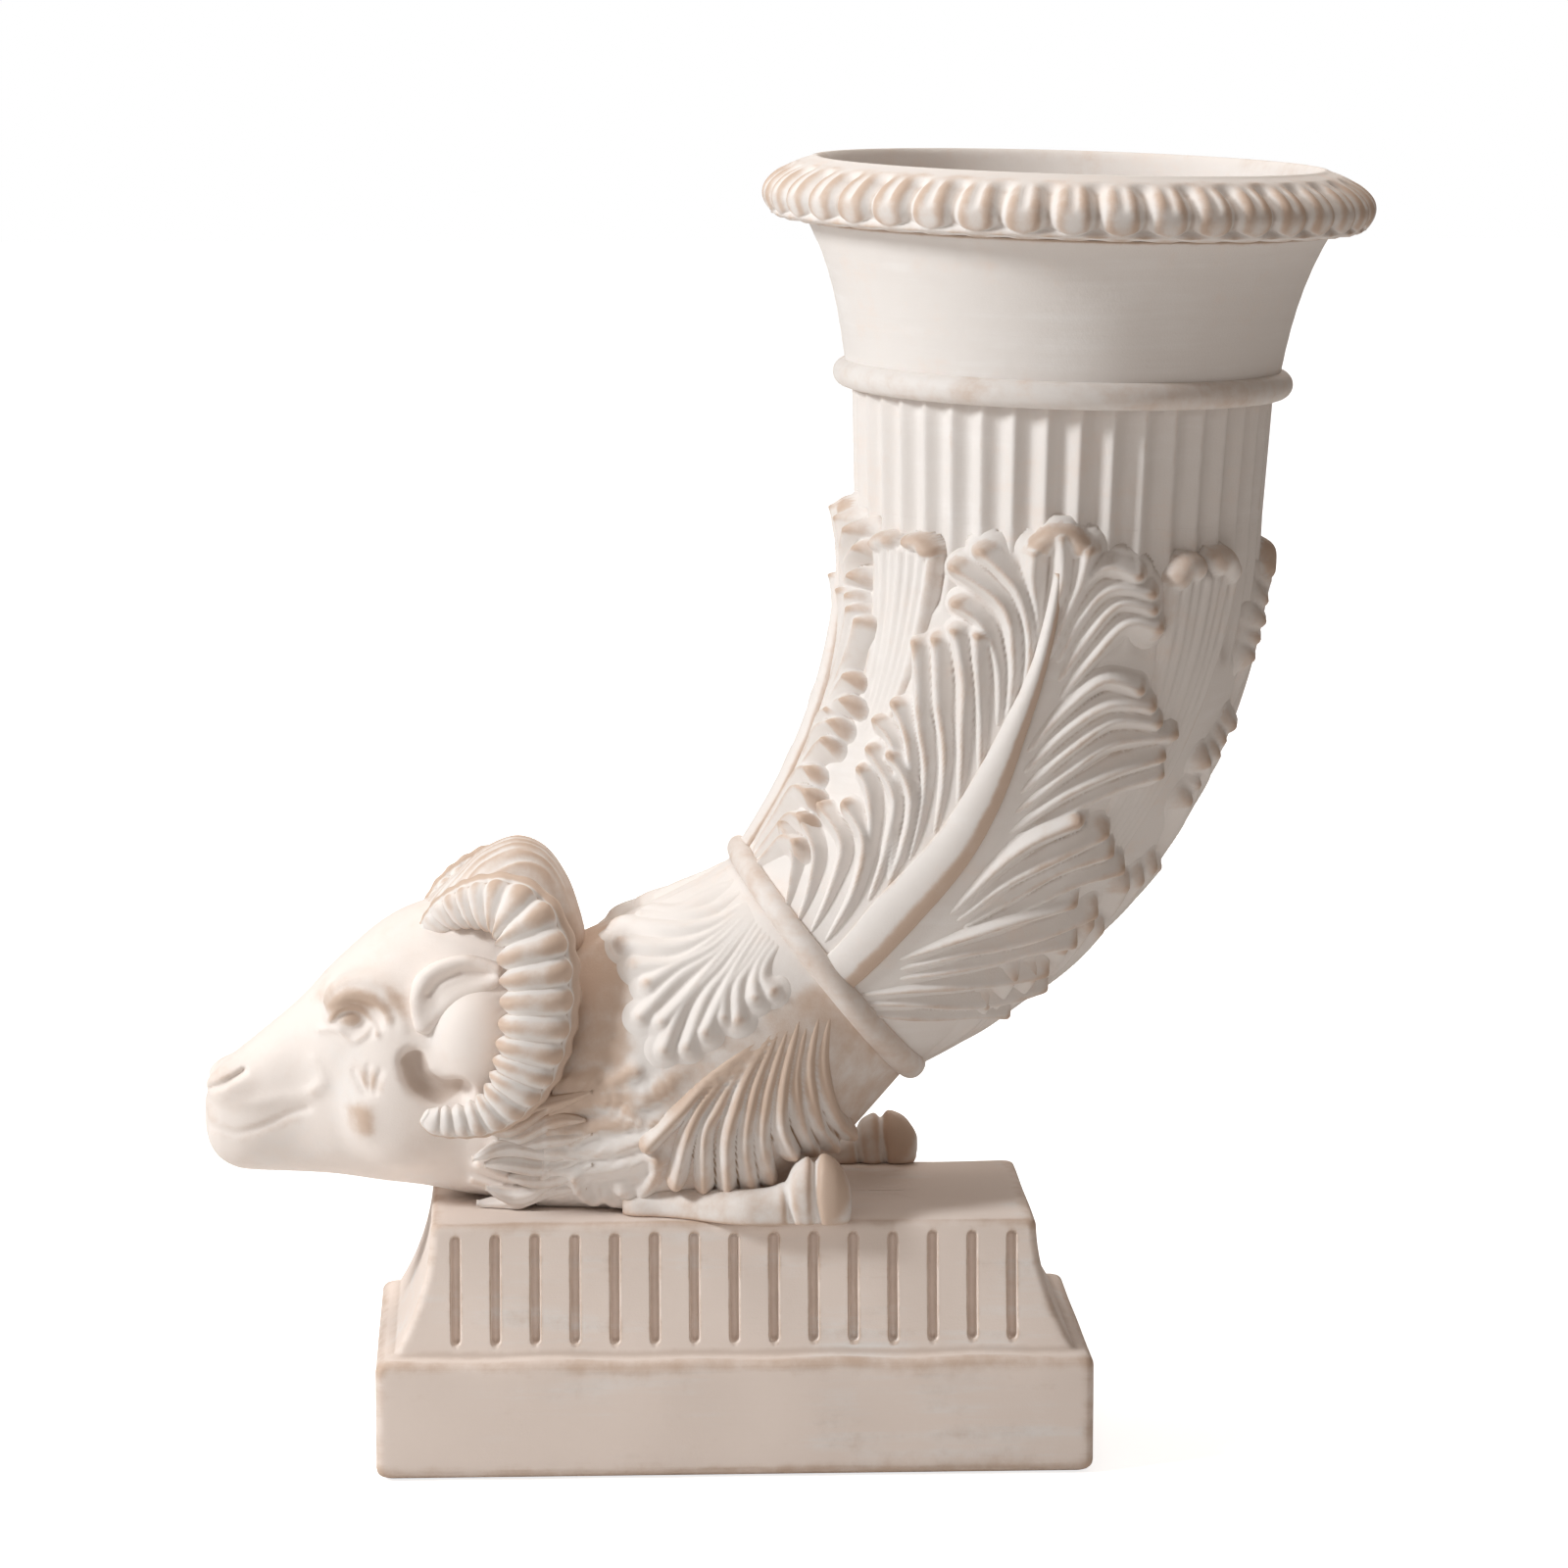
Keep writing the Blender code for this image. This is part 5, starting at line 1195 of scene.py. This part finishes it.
# Chest leaves. On each flank a broad leaf falls forward over the neck and a second one down over the
# shoulder to the leg; both are moulded sprigs of long wavy strands with thick ends, stuck on with slip.
# Their strands are drawn as the front view shows them, so a point further back counts as higher.
SIGHT_SLOPE = 0.156
SIGHT_Y = 40
NECK_LOBES = (
    (((-19, 186), (-26, 181.5), (-33.5, 178), (-41.5, 175.5)),
     ((-13.5, 176), (-24, 169.5), (-36, 166.3), (-49, 168.5)), 4, 0.1, 0.35),
    (((-13.2, 175.3), (-24, 166.5), (-36, 162), (-48.5, 162.5)),
     ((-11.4, 171), (-22, 157), (-33, 145), (-39, 131.5)), 6, 0.1, 0.3),
    (((-10.6, 169.6), (-19, 156.5), (-26.5, 146.5), (-31.5, 134)),
     ((-4.4, 163), (-8, 157.5), (-9, 152.5), (-6.5, 149)), 6, 0.1, 0.3))
SHOULDER_STRANDS = (
    ((-6, 137), (-25, 121.5), (-34.5, 111.5), (-44, 102)),
    ((-6, 136), (-24.5, 118), (-31.5, 106.5), (-35.5, 91)),
    ((-4, 140), (-17.5, 122), (-23, 112.5), (-27, 104.5), (-27, 89.5)),
    ((-2, 143), (-13.5, 123.5), (-17.8, 112.5), (-20.5, 101.5), (-19.8, 85)),
    ((0, 146), (-9.5, 124.5), (-13.2, 112.5), (-14.8, 101), (-13.2, 88)),
    ((2, 148), (-5.5, 125), (-8.5, 113.5), (-9.8, 103), (-8, 91.5)),
    ((4.5, 149), (-1.8, 125.5), (-3.8, 114.5), (-4, 106.5), (-1.5, 99.5)),
    ((7, 149), (1.8, 127), (1, 116), (2.5, 106.5), (5, 100)),
    ((10, 149), (5.5, 128.5), (5.5, 117), (7.5, 107), (11, 101.5)),
    ((13, 148), (9.6, 130), (10, 119), (12.5, 109.5), (16.5, 105)))
NECK_FINGER = {"rises": (-0.3, 2), "halves": (2.6, 4.8), "ridge": 0.9}
NECK_BLADE = {"rises": (-0.6, 1), "halves": (4, 8.5), "ridge": 0}
SHOULDER_FINGER = {"rises": (-1.6, 4.8), "halves": (2.2, 3.7), "ridge": 1}
NECK_TANS = (0.2, 0, 0)
# Painted shade on the shoulder leaves: tan over the roots of their strands, and a clay with more tan and more
# umber in its hollows.
SHOULDER_TANS_AND_SHADE = (0.2, 0.75, 0)
SHADED_CLAY = aged_clay("shaded_leaf_wash", 0.12, (70, 70, 70), 0.3, 1)


def make_chest_leaves():
    turn = np.linspace(-math.pi / 2, math.pi * 1.5, 480, endpoint=False)
    ground = chest_point(np.linspace(0, 4.4, 190)[:, None], turn[None, :])
    flank = slice(2, 237)
    normals = grid_normals(ground)[:, flank]
    ground = ground[:, flank]
    x, y, z = np.moveaxis(ground, -1, 0)
    sunk = 4 * ease((0.16 - turn[flank] - math.pi / 2) / 0.12)

    def lay(lift):
        return ground + normals * (lift - sunk)[..., None]

    seen_z = z + SIGHT_SLOPE * (y + SIGHT_Y)
    for part, strands, finger, blade, tans, clay in (
            ("neck", fanned(NECK_LOBES), NECK_FINGER, NECK_BLADE, NECK_TANS, LEAF_CLAY),
            ("shoulder", SHOULDER_STRANDS, SHOULDER_FINGER, None, SHOULDER_TANS_AND_SHADE, SHADED_CLAY)):
        points, faces, rubbed = leaf_shell(x, seen_z, lay, strands, finger, blade, thick=0.6, tans=tans)
        for name, side in SIDES:
            shell = (points * np.array([1, -side, 1]), faces, rubbed)
            lay_piece(part + "_sprig_" + name, [shell], clay, part + "_leaf_" + name,
                      full_wear=1.6)


make_chest_leaves()

# Studio. A white floor that keeps a soft shadow, one broad lamp from the upper left, even fill, and a
# camera where the photograph was taken from; places are in metres.
LENS_MM = 135
SENSOR_MM = 36
CAMERA_TARGET = Vector((-0.00076, 0, 0.20626))
CAMERA_AZIMUTH = math.radians(-2.61)
CAMERA_ELEVATION = math.radians(8.85)
CAMERA_DISTANCE = 1.82564
LAMP_TARGET = Vector((0, 0, 0.2))
LAMPS = (("window_left", (-1.62, -0.62, 1.22), 0.40, 28.6, (0.955, 0.985, 1)),
         ("soft_front", (-0.6, -2.2, 1.2), 1.4, 4, (1, 0.95, 0.90)),
         ("soft_above", (-0.2, 0.2, 2), 1.2, 15, (1, 0.92, 0.85)),
         ("soft_behind", (0.5, 1.7, 0.9), 1, 6, (1, 0.92, 0.85)))
WHITE = (1, 1, 1, 1)
FILL_TINT = (1, 0.83, 0.70, 1)
FILL_STRENGTH = 0.148
PAPER = (0.80, 0.79, 0.78, 1)


def stand(name, data, place, aim):
    """Set a camera or a lamp at a place, looking against aim."""
    holder = bpy.data.objects.new(name, data)
    holder.location = place
    holder.rotation_euler = aim.to_track_quat("Z", "Y").to_euler()
    bpy.context.scene.collection.objects.link(holder)
    return holder


def make_camera():
    lens = bpy.data.cameras.new("photo_view")
    lens.lens = LENS_MM
    lens.sensor_width = SENSOR_MM
    back = Vector((math.sin(CAMERA_AZIMUTH) * math.cos(CAMERA_ELEVATION),
                   -math.cos(CAMERA_AZIMUTH) * math.cos(CAMERA_ELEVATION), math.sin(CAMERA_ELEVATION)))
    return stand("photo_view", lens, CAMERA_TARGET + back * CAMERA_DISTANCE, back)


def make_lamps():
    for name, place, size, watts, tint in LAMPS:
        lamp = bpy.data.lights.new(name, "AREA")
        lamp.size = size
        lamp.energy = watts
        lamp.color = tint
        stand(name, lamp, place, Vector(place) - LAMP_TARGET)


def make_fill():
    """Even warm light from all round, which the camera sees as white."""
    world = bpy.data.worlds.new("studio_fill")
    world.use_nodes = True
    world.node_tree.nodes.clear()
    air = Wash(world.node_tree)
    sight = air.node("LightPath")
    fill = air.node("Background", None, {"Color": FILL_TINT, "Strength": FILL_STRENGTH})
    white = air.node("Background", None, {"Color": WHITE, "Strength": 1})
    both = air.node("MixShader", None, {0: sight, 1: fill, 2: white})
    air.node("OutputWorld", None, {"Surface": both})
    return world


def make_floor():
    """White paper: the camera sees it lit up to white, with the vase's shadow still on it."""
    bpy.ops.mesh.primitive_plane_add(size=12, location=(0, 0, -0.0005))
    floor = bpy.context.object
    floor.name = "studio_floor"
    paper = bpy.data.materials.new("white_paper")
    paper.use_nodes = True
    paper.node_tree.nodes.clear()
    sweep = Wash(paper.node_tree)
    sight = sweep.node("LightPath")
    matt = sweep.node("BsdfDiffuse", None, {"Color": PAPER})
    near = sweep.node("Emission", None, {"Color": WHITE, "Strength": 0.78})
    far = sweep.node("Emission", None, {"Color": WHITE, "Strength": 1.1})
    place = sweep.node("NewGeometry")
    run = sweep.node("VectorMath", {"operation": "LENGTH"}, {0: place}, 1)
    glow = sweep.node("MixShader", None, {0: run.between(0.28, 0.75), 1: near, 2: far})
    lit = sweep.node("AddShader", None, {0: matt, 1: glow})
    both = sweep.node("MixShader", None, {0: sight, 1: matt, 2: lit})
    sweep.node("OutputMaterial", None, {"Surface": both})
    floor.data.materials.append(paper)


bpy.context.scene.camera = make_camera()
bpy.context.scene.view_settings.view_transform = "Standard"
bpy.context.scene.world = make_fill()
make_lamps()
make_floor()
